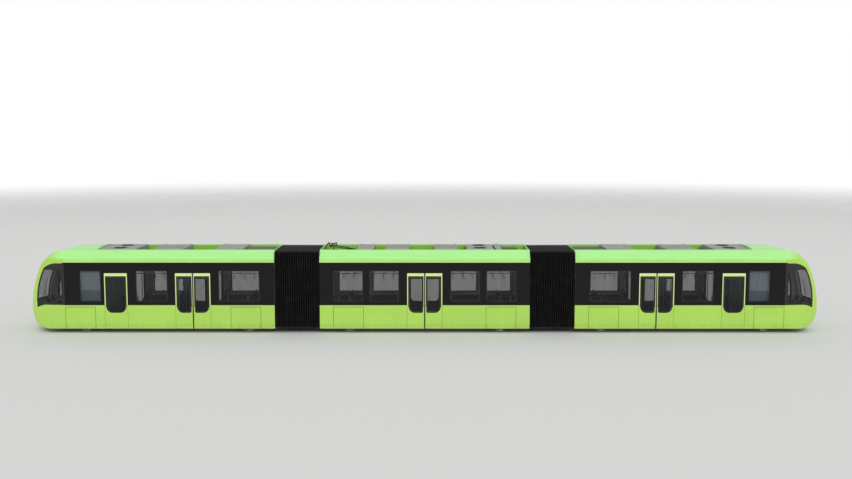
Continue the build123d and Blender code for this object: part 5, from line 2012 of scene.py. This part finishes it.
@dataclass
class CabFittings(Assembly):
    """Blind, cupboard and desk fittings of one cab."""

    window: Pair = FORE_WINDOWS[2]
    desk_x: float = BODY.nose_x - 0.640
    blind_in: Pair = (0.01, 0.03)
    blind: tuple[Pair, Pair] = ((1.236, 1.239), (1.740, 2.560))
    hem: tuple[Pair, Pair] = ((1.228, 1.242), (1.702, 1.744))
    roller_r: float = 0.022
    roller_at: Pair = (1.232, 2.575)
    board: tuple[Pair, Pair] = ((0.860, 1.225), (0.781, 1.700))
    board_in: Pair = (0.005, 0.02)
    screens_y: Pair = (-0.30, 0.30)
    case: Pairs = ((0.02, 1.10), (0.08, 1.10), (0.17, 1.27), (0.09, 1.28))
    face: Pairs = ((0.024, 1.125), (0.032, 1.125), (0.088, 1.262), (0.080, 1.262))
    knobs_y: Floats = tuple(-0.18 + 0.06 * number for number in range(7))
    knob_at: Pair = (-0.10, 1.093)
    lever_y: float = 0.42
    lever: Pairs = ((-0.12, 1.08), (-0.14, 1.19))
    lever_knob_at: Pair = (-0.14, 1.180)
    PARTS = {
        "cab_blinds": (Finish.BLIND, "cab_plastic"),
        "cab_cupboards": (Finish.CUPBOARD, "cab_plastic"),
        "desk_screens": (Finish.BLACK, "cab_plastic"),
        "desk_screen_faces": (Finish.BLANK_DISPLAY_GLOW, "cab_plastic"),
        "desk_knobs": (Finish.BLACK, "cab_plastic"),
    }

    def wall(self, way: int) -> None:
        """Adds one side's blind and the cupboard below it.

        Args:
            way: Side of the tram.
        """
        low, high = self.window[0] + self.blind_in[0], self.window[1] - self.blind_in[1]
        for part, (sides, heights), (start, end), soften in (
                ("cab_blinds", self.blind, (low, high), 0.0),
                ("cab_blinds", self.hem, (low, high), 0.003),
                ("cab_cupboards", self.board,
                 (self.window[0] + self.board_in[0], self.window[1] - self.board_in[1]), 0.010)):
            self[part].box((start, way * sides[0], heights[0]), (end, way * sides[1], heights[1]), soften)
        roller = [(AXIS_R, 0.0), (self.roller_r, 0.0), (self.roller_r, high - low), (AXIS_R, high - low)]
        self["cab_blinds"].revolve(roller, (low, way * self.roller_at[0], self.roller_at[1]), (1, 0, 0), 16)

    def shape(self) -> None:
        """Adds the cab's fittings, with the desk's two screens, its knobs and its lever."""
        for way in WAYS:
            self.wall(way)
        for y in self.screens_y:
            for part, profile, half in (
                    ("desk_screens", self.case, 0.13), ("desk_screen_faces", self.face, 0.115)):
                self[part].loft([
                    [(self.desk_x + ahead, place, z) for ahead, z in profile] for place in (y - half, y + half)])
        knobs = self["desk_knobs"]
        for y in self.knobs_y:
            knobs.fit(Turned.KNOB, (self.desk_x + self.knob_at[0], y, self.knob_at[1]), (-0.3, 0, 1))
        knobs.tube([(self.desk_x + ahead, self.lever_y, z) for ahead, z in self.lever], 0.009, 8)
        ahead, z = self.lever_knob_at
        knobs.fit(Turned.LEVER_KNOB, (self.desk_x + ahead, self.lever_y, z), (0, 0, 1))


@dataclass
class GearFittings(Assembly):
    """Motor ribs, bearing covers, bolts and hoses of the running gear at x, and its disc bolts."""

    x: float
    motor: Point = (0.172, 0.285, 0.105)
    ribs_y: Floats = tuple(-0.250 + 0.052 * number for number in range(9))
    rib: Pairs = ((-0.002, 0.0), (0.009, 0.002), (0.009, 0.010), (-0.002, 0.012))
    face_y: float = 0.520 + 0.050
    axle_z: float = 0.325
    cover_bolts: Floats = (0.015, 0.075, 6, 0.009)
    beam_bolts_x: Floats = tuple(0.22 + 0.075 * number for number in range(3))
    beam_bolt_z: float = 0.350
    disc_face_y: float = 0.886
    disc_bolts: Floats = (0.0, 0.088, 8, 0.010)
    hose: Points = (
        (0.30, 0.560, 0.372), (0.36, 0.600, 0.380), (0.395, 0.680, 0.362), (0.396, 0.790, 0.345))
    motor_hose: Points = (
        (0.172, -0.20, 0.385), (0.222, -0.24, 0.380), (0.28, -0.30, 0.382), (0.325, -0.36, 0.380))
    PARTS = {
        "motor_ribs": (Finish.GEAR, "frame_paint"),
        "gear_bolts": (Finish.BOLT, "frame_paint"),
        "gear_hoses": (Finish.SEAL, "bellows_rubber"),
        "disc_bolts": (Finish.BOLT, "wheel_steel"),
    }

    def body(self, part: str) -> str:
        """Names the body that a part rides on."""
        return f"{self.name}_wheels" if part == "disc_bolts" else f"{self.name}_gear"

    def bolts(self, part: str, y: float, way: int, lift: float, radius: float, count: int, size: float) -> None:
        """Adds a ring of hexagonal bolt heads round the axle.

        Args:
            part: Where they go.
            y: Face that they sit on.
            way: Side of the tram, to which the heads point.
            lift: How far off the face they start.
            radius: Radius of the ring.
            count: Number of bolts.
            size: Radius of a head.
        """
        head = [(AXIS_R, -AXIS_R), (size, -AXIS_R), (size, size * 0.8), (size * 0.8, size), (AXIS_R, size)]
        for number in range(count):
            turn = 2 * pi * (number + 0.5) / count
            foot = (self.x + radius * cos(turn), y + way * lift, self.axle_z + radius * sin(turn))
            self[part].revolve(head, foot, (0, way, 0), 6)

    def side(self, way: int) -> None:
        """Adds the fittings of one side.

        Args:
            way: Side of the tram.
        """
        axis, face, rim = (0, way, 0), way * self.face_y, way * self.disc_face_y
        steel = self["gear_bolts"]
        steel.fit(Turned.BEARING_COVER, (self.x, face, self.axle_z), axis)
        self.bolts("gear_bolts", face, way, *self.cover_bolts)
        for end in WAYS:
            for ahead in self.beam_bolts_x:
                steel.fit(Turned.BEAM_BOLT, (self.x + end * ahead, face, self.beam_bolt_z), axis)
        self["gear_hoses"].tube([(self.x + ahead, way * y, z) for ahead, y, z in self.hose], 0.009, 8)
        self.bolts("disc_bolts", rim, way, *self.disc_bolts)
        self["disc_bolts"].fit(Turned.DISC_HUB, (self.x, rim - way * 0.001, self.axle_z), axis)

    def shape(self) -> None:
        """Adds the fittings of the gear and of its wheelset."""
        motor_x, motor_z, motor_r = self.motor
        rib = [(motor_r + out, ahead) for out, ahead in self.rib]
        for y in self.ribs_y:
            self["motor_ribs"].revolve(rib, (self.x + motor_x, y, motor_z), (0, 1, 0), 28)
        for way in WAYS:
            self.side(way)
        self["gear_hoses"].tube([(self.x + ahead, y, z) for ahead, y, z in self.motor_hose], 0.013, 8)


@dataclass
class Underfloor(Assembly):
    """Seams, bolts, pipes and drains on the bare span of the floor pan between two running gears."""

    span: Pair
    pan_z: float = 0.400
    pitch: float = 0.900
    seam: Points = ((-0.030, -1.100, -0.004), (0.030, 1.100, 0.001))
    hanger: Points = ((0.05, 0.790, -0.022), (0.08, 0.895, 0.001))
    bolts_y: Floats = (-1.050, -0.700, -0.350, 0.0, 0.350, 0.700, 1.050)
    pipes_y: Pair = (0.820, 0.865)
    pipe_in: float = 0.02
    drains_y: Pair = (-0.5, 0.5)
    PARTS = {
        "pan_straps": (Finish.GEAR, "frame_paint"),
        "pan_pipes": (Finish.BOLT, "frame_paint"),
        "pan_fixings": (Finish.BOLT, "frame_paint"),
    }

    def shape(self) -> None:
        """Adds the seams with their bolts and hangers, and the pipes and drains between them."""
        low, high = self.span
        count = round((high - low) / self.pitch)
        down = (0, 0, -1)
        for x in spread(low, high, count + 1):
            for points, soften, ways in ((self.seam, 0.0015, (1,)), (self.hanger, 0.004, WAYS)):
                for way in ways:
                    self["pan_straps"].box(*((x + u, way * v, self.pan_z + w) for u, v, w in points), soften)
            for y in self.bolts_y:
                self["pan_fixings"].fit(Turned.PAN_BOLT, (x, y, self.pan_z - 0.0035), down)
        for way in WAYS:
            for y in self.pipes_y:
                ends = (low + self.pipe_in, high - self.pipe_in)
                self["pan_pipes"].tube([(x, way * y, self.pan_z - 0.020) for x in ends], 0.010, 10)
        half_pitch = (high - low) / count / 2
        for x in (low + half_pitch, high - half_pitch):
            for y in self.drains_y:
                self["pan_fixings"].fit(Turned.DRAIN, (x, y, self.pan_z + 0.0005), down)


@dataclass
class PantographFittings(Assembly):
    """Coil springs, shunts and bolts of the pantograph, placed from its hinge."""

    hinge: Point = (-BODY.mid_half + 0.355, 0.0, 3.100)
    arm_length: float = 1.020
    arm_rise: float = 5.0
    spring: Point = (0.300, 0.120, -0.065)
    spring_length: float = 0.560
    spring_in: float = 0.02
    coil_r: float = 0.032
    turns: int = 15
    feet_x: Pair = (0.835, -0.095)
    shunt: Points = (
        (0.10, 0.205, -0.042), (0.08, 0.17, 0.01), (0.13, 0.12, 0.045), (0.20, 0.06, 0.046))
    PARTS = {
        "springs": (Finish.BOLT, "pantograph_paint"),
        "shunts": (Finish.COPPER, "pantograph_paint"),
        "bolts": (Finish.BOLT, "pantograph_paint"),
        "knee_nuts": (Finish.BOLT, "pantograph_paint"),
    }

    def body(self, part: str) -> str:
        """Names the body that a part rides on."""
        return "pantograph_lower" if part == "knee_nuts" else Car.MID.value

    def at(self, x: float, y: float, z: float) -> Vector:
        """Gives the place that far from the hinge."""
        return Vector(self.hinge) + Vector((x, y, z))

    def coil(self, foot: Vector) -> list[Vector]:
        """Winds one spring.

        Args:
            foot: Its aft end.

        Returns:
            Points along its wire.
        """
        steps = self.turns * 12
        length = self.spring_length - 2 * self.spring_in
        return [
            foot + Vector((
                self.spring_in + length * step / steps,
                self.coil_r * cos(2 * pi * self.turns * step / steps),
                self.coil_r * sin(2 * pi * self.turns * step / steps)))
            for step in range(steps + 1)]

    def shape(self) -> None:
        """Adds the springs, shunts and fixings."""
        x, y, z = self.spring
        rise = radians(self.arm_rise)
        knee = self.at(cos(rise) * self.arm_length, 0, sin(rise) * self.arm_length)
        for way in WAYS:
            self["springs"].tube(self.coil(self.at(x, way * y, z)), 0.005, 6)
            for foot_x in self.feet_x:
                for side in WAYS:
                    place = self.at(foot_x, way * 0.42 + side * 0.03, -0.040)
                    self["bolts"].fit(Turned.PANTOGRAPH_BOLT, place, (0, 0, 1))
            self["shunts"].tube([self.at(u, way * v, w) for u, v, w in self.shunt], 0.006, 6)
            self["knee_nuts"].fit(Turned.KNEE_NUT, knee + Vector((0, way * 0.150, 0)), (0, way, 0))


@dataclass
class Bellows(Assembly):
    """Folded bellows of one gangway, as rounded pleats round the whole passage."""

    pleats: int = 20
    low_z: float = 0.180
    top_z: float = 3.270
    half: float = BODY.side - 0.002
    clear: float = 0.002
    depth: float = 0.060
    corner: float = 0.120
    lining: float = 0.985

    def sections(self, start: float, end: float) -> list[list[Point]]:
        """Gives the outline of the pleats at each step along the gangway.

        Args:
            start: Where they start.
            end: Where they end.

        Returns:
            The outlines.
        """
        edge = rounded(-self.half, self.half, self.low_z, self.top_z, [self.corner] * 4)
        steps = self.pleats * 6
        made = []
        for step, x in enumerate(spread(start, end, steps + 1)):
            fold = abs(sin(pi * self.pleats * step / steps)) ** 0.8
            made.append([(x, y, z) for y, z in shrunk(edge, self.depth * (1.0 - fold))])
        return made

    def build(self, palette: Palette) -> list[Object]:
        """Makes the pleats, in place of the imported bellows.

        Args:
            palette: Every finish.

        Returns:
            The piece.
        """
        start, end = BODY.mid_half + self.clear, BODY.inner_x - self.clear
        middle = (self.low_z + self.top_z) / 2
        outside = self.sections(start, end)
        inside = [
            [(x, y * self.lining, middle + (z - middle) * self.lining) for x, y, z in row] for row in outside]
        name, way = self.name, -1 if self.name == Car.AFT.value else 1
        solid = Solid(way < 0)
        for rows in (outside, inside, (outside[0], inside[0]), (outside[-1], inside[-1])):
            solid.loft(rows, caps=False)
        made = solid.piece(f"{name}_pleats", palette[Finish.BELLOWS], "bellows_rubber", 60.0)
        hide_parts(f"{name}_bellows")
        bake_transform(made)
        return [made]


class Dresser:
    """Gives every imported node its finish."""

    FINISH_OF = {
        "underframe": Finish.UNDERFRAME, "inner_walls": Finish.LINING, "lower_walls": Finish.LIME,
        "window_band": Finish.BAND, "doors": Finish.DOOR, "nose": Finish.NOSE,
        "lamps": Finish.LAMP_COVER, "glass": Finish.GLASS, "wheel_covers": Finish.COVER,
        "roof": Finish.ROOF, "roof_units": Finish.ROOF_COVER, "seats": Finish.SEAT,
        "handrails": Finish.RAIL, "cab": Finish.CAB, "bellows": Finish.BELLOWS,
        "gear_frame": Finish.GEAR, "wheelset": Finish.WHEEL, "gangway_drawbars": Finish.UNDERFRAME,
        "pantograph_base": Finish.PANTOGRAPH, "lower_arm": Finish.PANTOGRAPH,
        "upper_arm": Finish.PANTOGRAPH, "pantograph_head": Finish.CARBON,
    }

    def build(self, palette: Palette) -> list[Object]:
        """Puts the finishes on the nodes, longest matching name first.

        Args:
            palette: Every finish.

        Returns:
            The nodes.
        """
        endings = sorted(self.FINISH_OF, key=len, reverse=True)
        for name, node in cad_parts.items():
            ending = next(ending for ending in endings if name.endswith(ending))
            node.data.materials.clear()
            node.data.materials.append(palette[self.FINISH_OF[ending]])
        return list(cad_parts.values())


@dataclass
class Studio:
    """Pale floor and backdrop, soft lamps and the camera."""

    floor_half: float = 150.0
    floor_colour: str = "E4E5E3"
    fade: Pair = (22.0, 140.0)
    backdrop: float = 1.0
    ambient: float = 0.66
    sky_energy: float = 1.15
    sky_size: float = 25
    sky_turn: Pair = (54, 16)
    camera_at: Point = (0.090, -40.42, 7.783)
    camera_down: float = 0.103
    camera_turn: float = 0.001
    image_width: int = 852
    focal_pixels: float = 1000.0
    sensor: float = 36.0

    def floor(self) -> None:
        """Lays the floor, which shows as plain pale in reflections and through glass."""
        graph = Graph("studio_floor")
        paths = graph.node("ShaderNodeLightPath", {}, {})
        seen = graph.out(paths, "Is Glossy Ray").most(graph.out(paths, "Is Transmission Ray"))
        shaded = graph.node("ShaderNodeBsdfDiffuse", {}, {"Color": paint(self.floor_colour)})
        plain = graph.node("ShaderNodeEmission", {}, {"Color": paint(self.floor_colour), "Strength": 1.0})
        both = graph.node("ShaderNodeMixShader", {}, {
            "0": seen, "1": graph.out(shaded, "BSDF"), "2": graph.out(plain, "Emission")})
        along, across, _ = graph.place()
        reach = (along * along + across * across).rise(self.fade[0] ** 2, self.fade[1] ** 2)
        clear = graph.node("ShaderNodeBsdfTransparent", {}, {})
        fading = graph.node("ShaderNodeMixShader", {}, {
            "0": reach, "1": graph.out(both, "Shader"), "2": graph.out(clear, "BSDF")})
        graph.node("ShaderNodeOutputMaterial", {}, {"Surface": graph.out(fading, "Shader")})
        solid = Solid()
        half = self.floor_half
        corners = [(-half, -half, 0), (half, -half, 0), (half, half, 0), (-half, half, 0)]
        solid.plate(corners, (0, 0, -0.02))
        floor = solid.thing("studio_floor", graph.material)

    def world(self) -> None:
        """Lights from all round, and shows as white."""
        world = bpy.data.worlds.new("studio_world")
        bpy.context.scene.world = world
        world.use_nodes = True
        tree = world.node_tree
        tree.nodes.clear()
        paths = tree.nodes.new("ShaderNodeLightPath")
        seen = Shade(tree, paths.outputs["Is Camera Ray"]).most(
            Shade(tree, paths.outputs["Is Transmission Ray"]))
        background = tree.nodes.new("ShaderNodeBackground")
        background.inputs["Color"].default_value = (1.0, 1.0, 1.0, 1.0)
        strength = seen * (self.backdrop - self.ambient) + self.ambient
        tree.links.new(strength.socket, background.inputs["Strength"])
        output = tree.nodes.new("ShaderNodeOutputWorld")
        tree.links.new(background.outputs["Background"], output.inputs["Surface"])

    def lamps(self) -> None:
        """Adds one broad lamp above the camera's side, as from a bright sky."""
        sun = bpy.data.lights.new("studio_sky", "SUN")
        sun.energy = self.sky_energy
        sun.angle = radians(self.sky_size)
        lamp = bpy.data.objects.new("studio_sky", sun)
        lamp.rotation_euler = (*(radians(turn) for turn in self.sky_turn), 0)
        bpy.context.scene.collection.objects.link(lamp)

    def camera(self) -> None:
        """Stands the camera where the photograph was taken from."""
        lens = bpy.data.cameras.new("studio_camera")
        lens.sensor_width = self.sensor
        lens.lens = self.sensor * self.focal_pixels / self.image_width
        lens.clip_end = 500.0
        camera = bpy.data.objects.new("studio_camera", lens)
        camera.location = self.camera_at
        camera.rotation_euler = (pi / 2 - self.camera_down, 0.0, self.camera_turn)
        bpy.context.scene.collection.objects.link(camera)
        bpy.context.scene.camera = camera

    def build(self) -> None:
        """Sets the whole studio."""
        self.floor()
        self.world()
        self.lamps()
        self.camera()
        bpy.context.scene.view_settings.view_transform = "Standard"


def main() -> None:
    """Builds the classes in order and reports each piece."""
    logging.basicConfig(level=logging.INFO, format="%(name)s %(message)s")
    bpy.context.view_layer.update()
    palette = Palette()
    Studio().build()
    mid = Car.MID.value
    parts = [Dresser(), Sides(mid, MID_DOORS, MID_WINDOWS)]
    for car in (Car.FORE.value, Car.AFT.value):
        parts += [
            Sides(car, FORE_DOORS, FORE_WINDOWS),
            NoseTrim(car),
            CoverLatches(car, (INNER_AXLE, OUTER_AXLE)),
            RoofFittings(car, FORE_UNITS, (BODY.inner_x + ROOF_GAP, DOME_X)),
            Seats(car, FORE_SEATS, DRIVER_X),
            Saloon(car, FORE_DOORS, (BODY.inner_x, PARTITION_X)),
            CabFittings(car),
            Underfloor(car, (INNER_AXLE + GEAR_REACH, OUTER_AXLE - GEAR_REACH)),
        ]
    parts += [
        Underfloor(mid, (GEAR_REACH - MID_AXLE, MID_AXLE - GEAR_REACH)),
        Seats(mid, MID_SEATS, None),
        Saloon(mid, MID_DOORS, (-BODY.mid_half, BODY.mid_half)),
        *(GearFittings(name, x) for name, x in AXLES),
        PantographFittings("pantograph"),
        CoverLatches(mid, (-MID_AXLE, MID_AXLE)),
        RoofFittings(mid, MID_UNITS, (-BODY.mid_half + ROOF_GAP, BODY.mid_half - ROOF_GAP)),
        Bellows(Car.FORE.value),
        Bellows(Car.AFT.value),
    ]
    for part in parts:
        for piece in part.build(palette):
            LOG.info("%s, %s, %d faces", type(part).__name__, piece.name, len(piece.data.polygons))


if __name__ == "__main__":
    main()
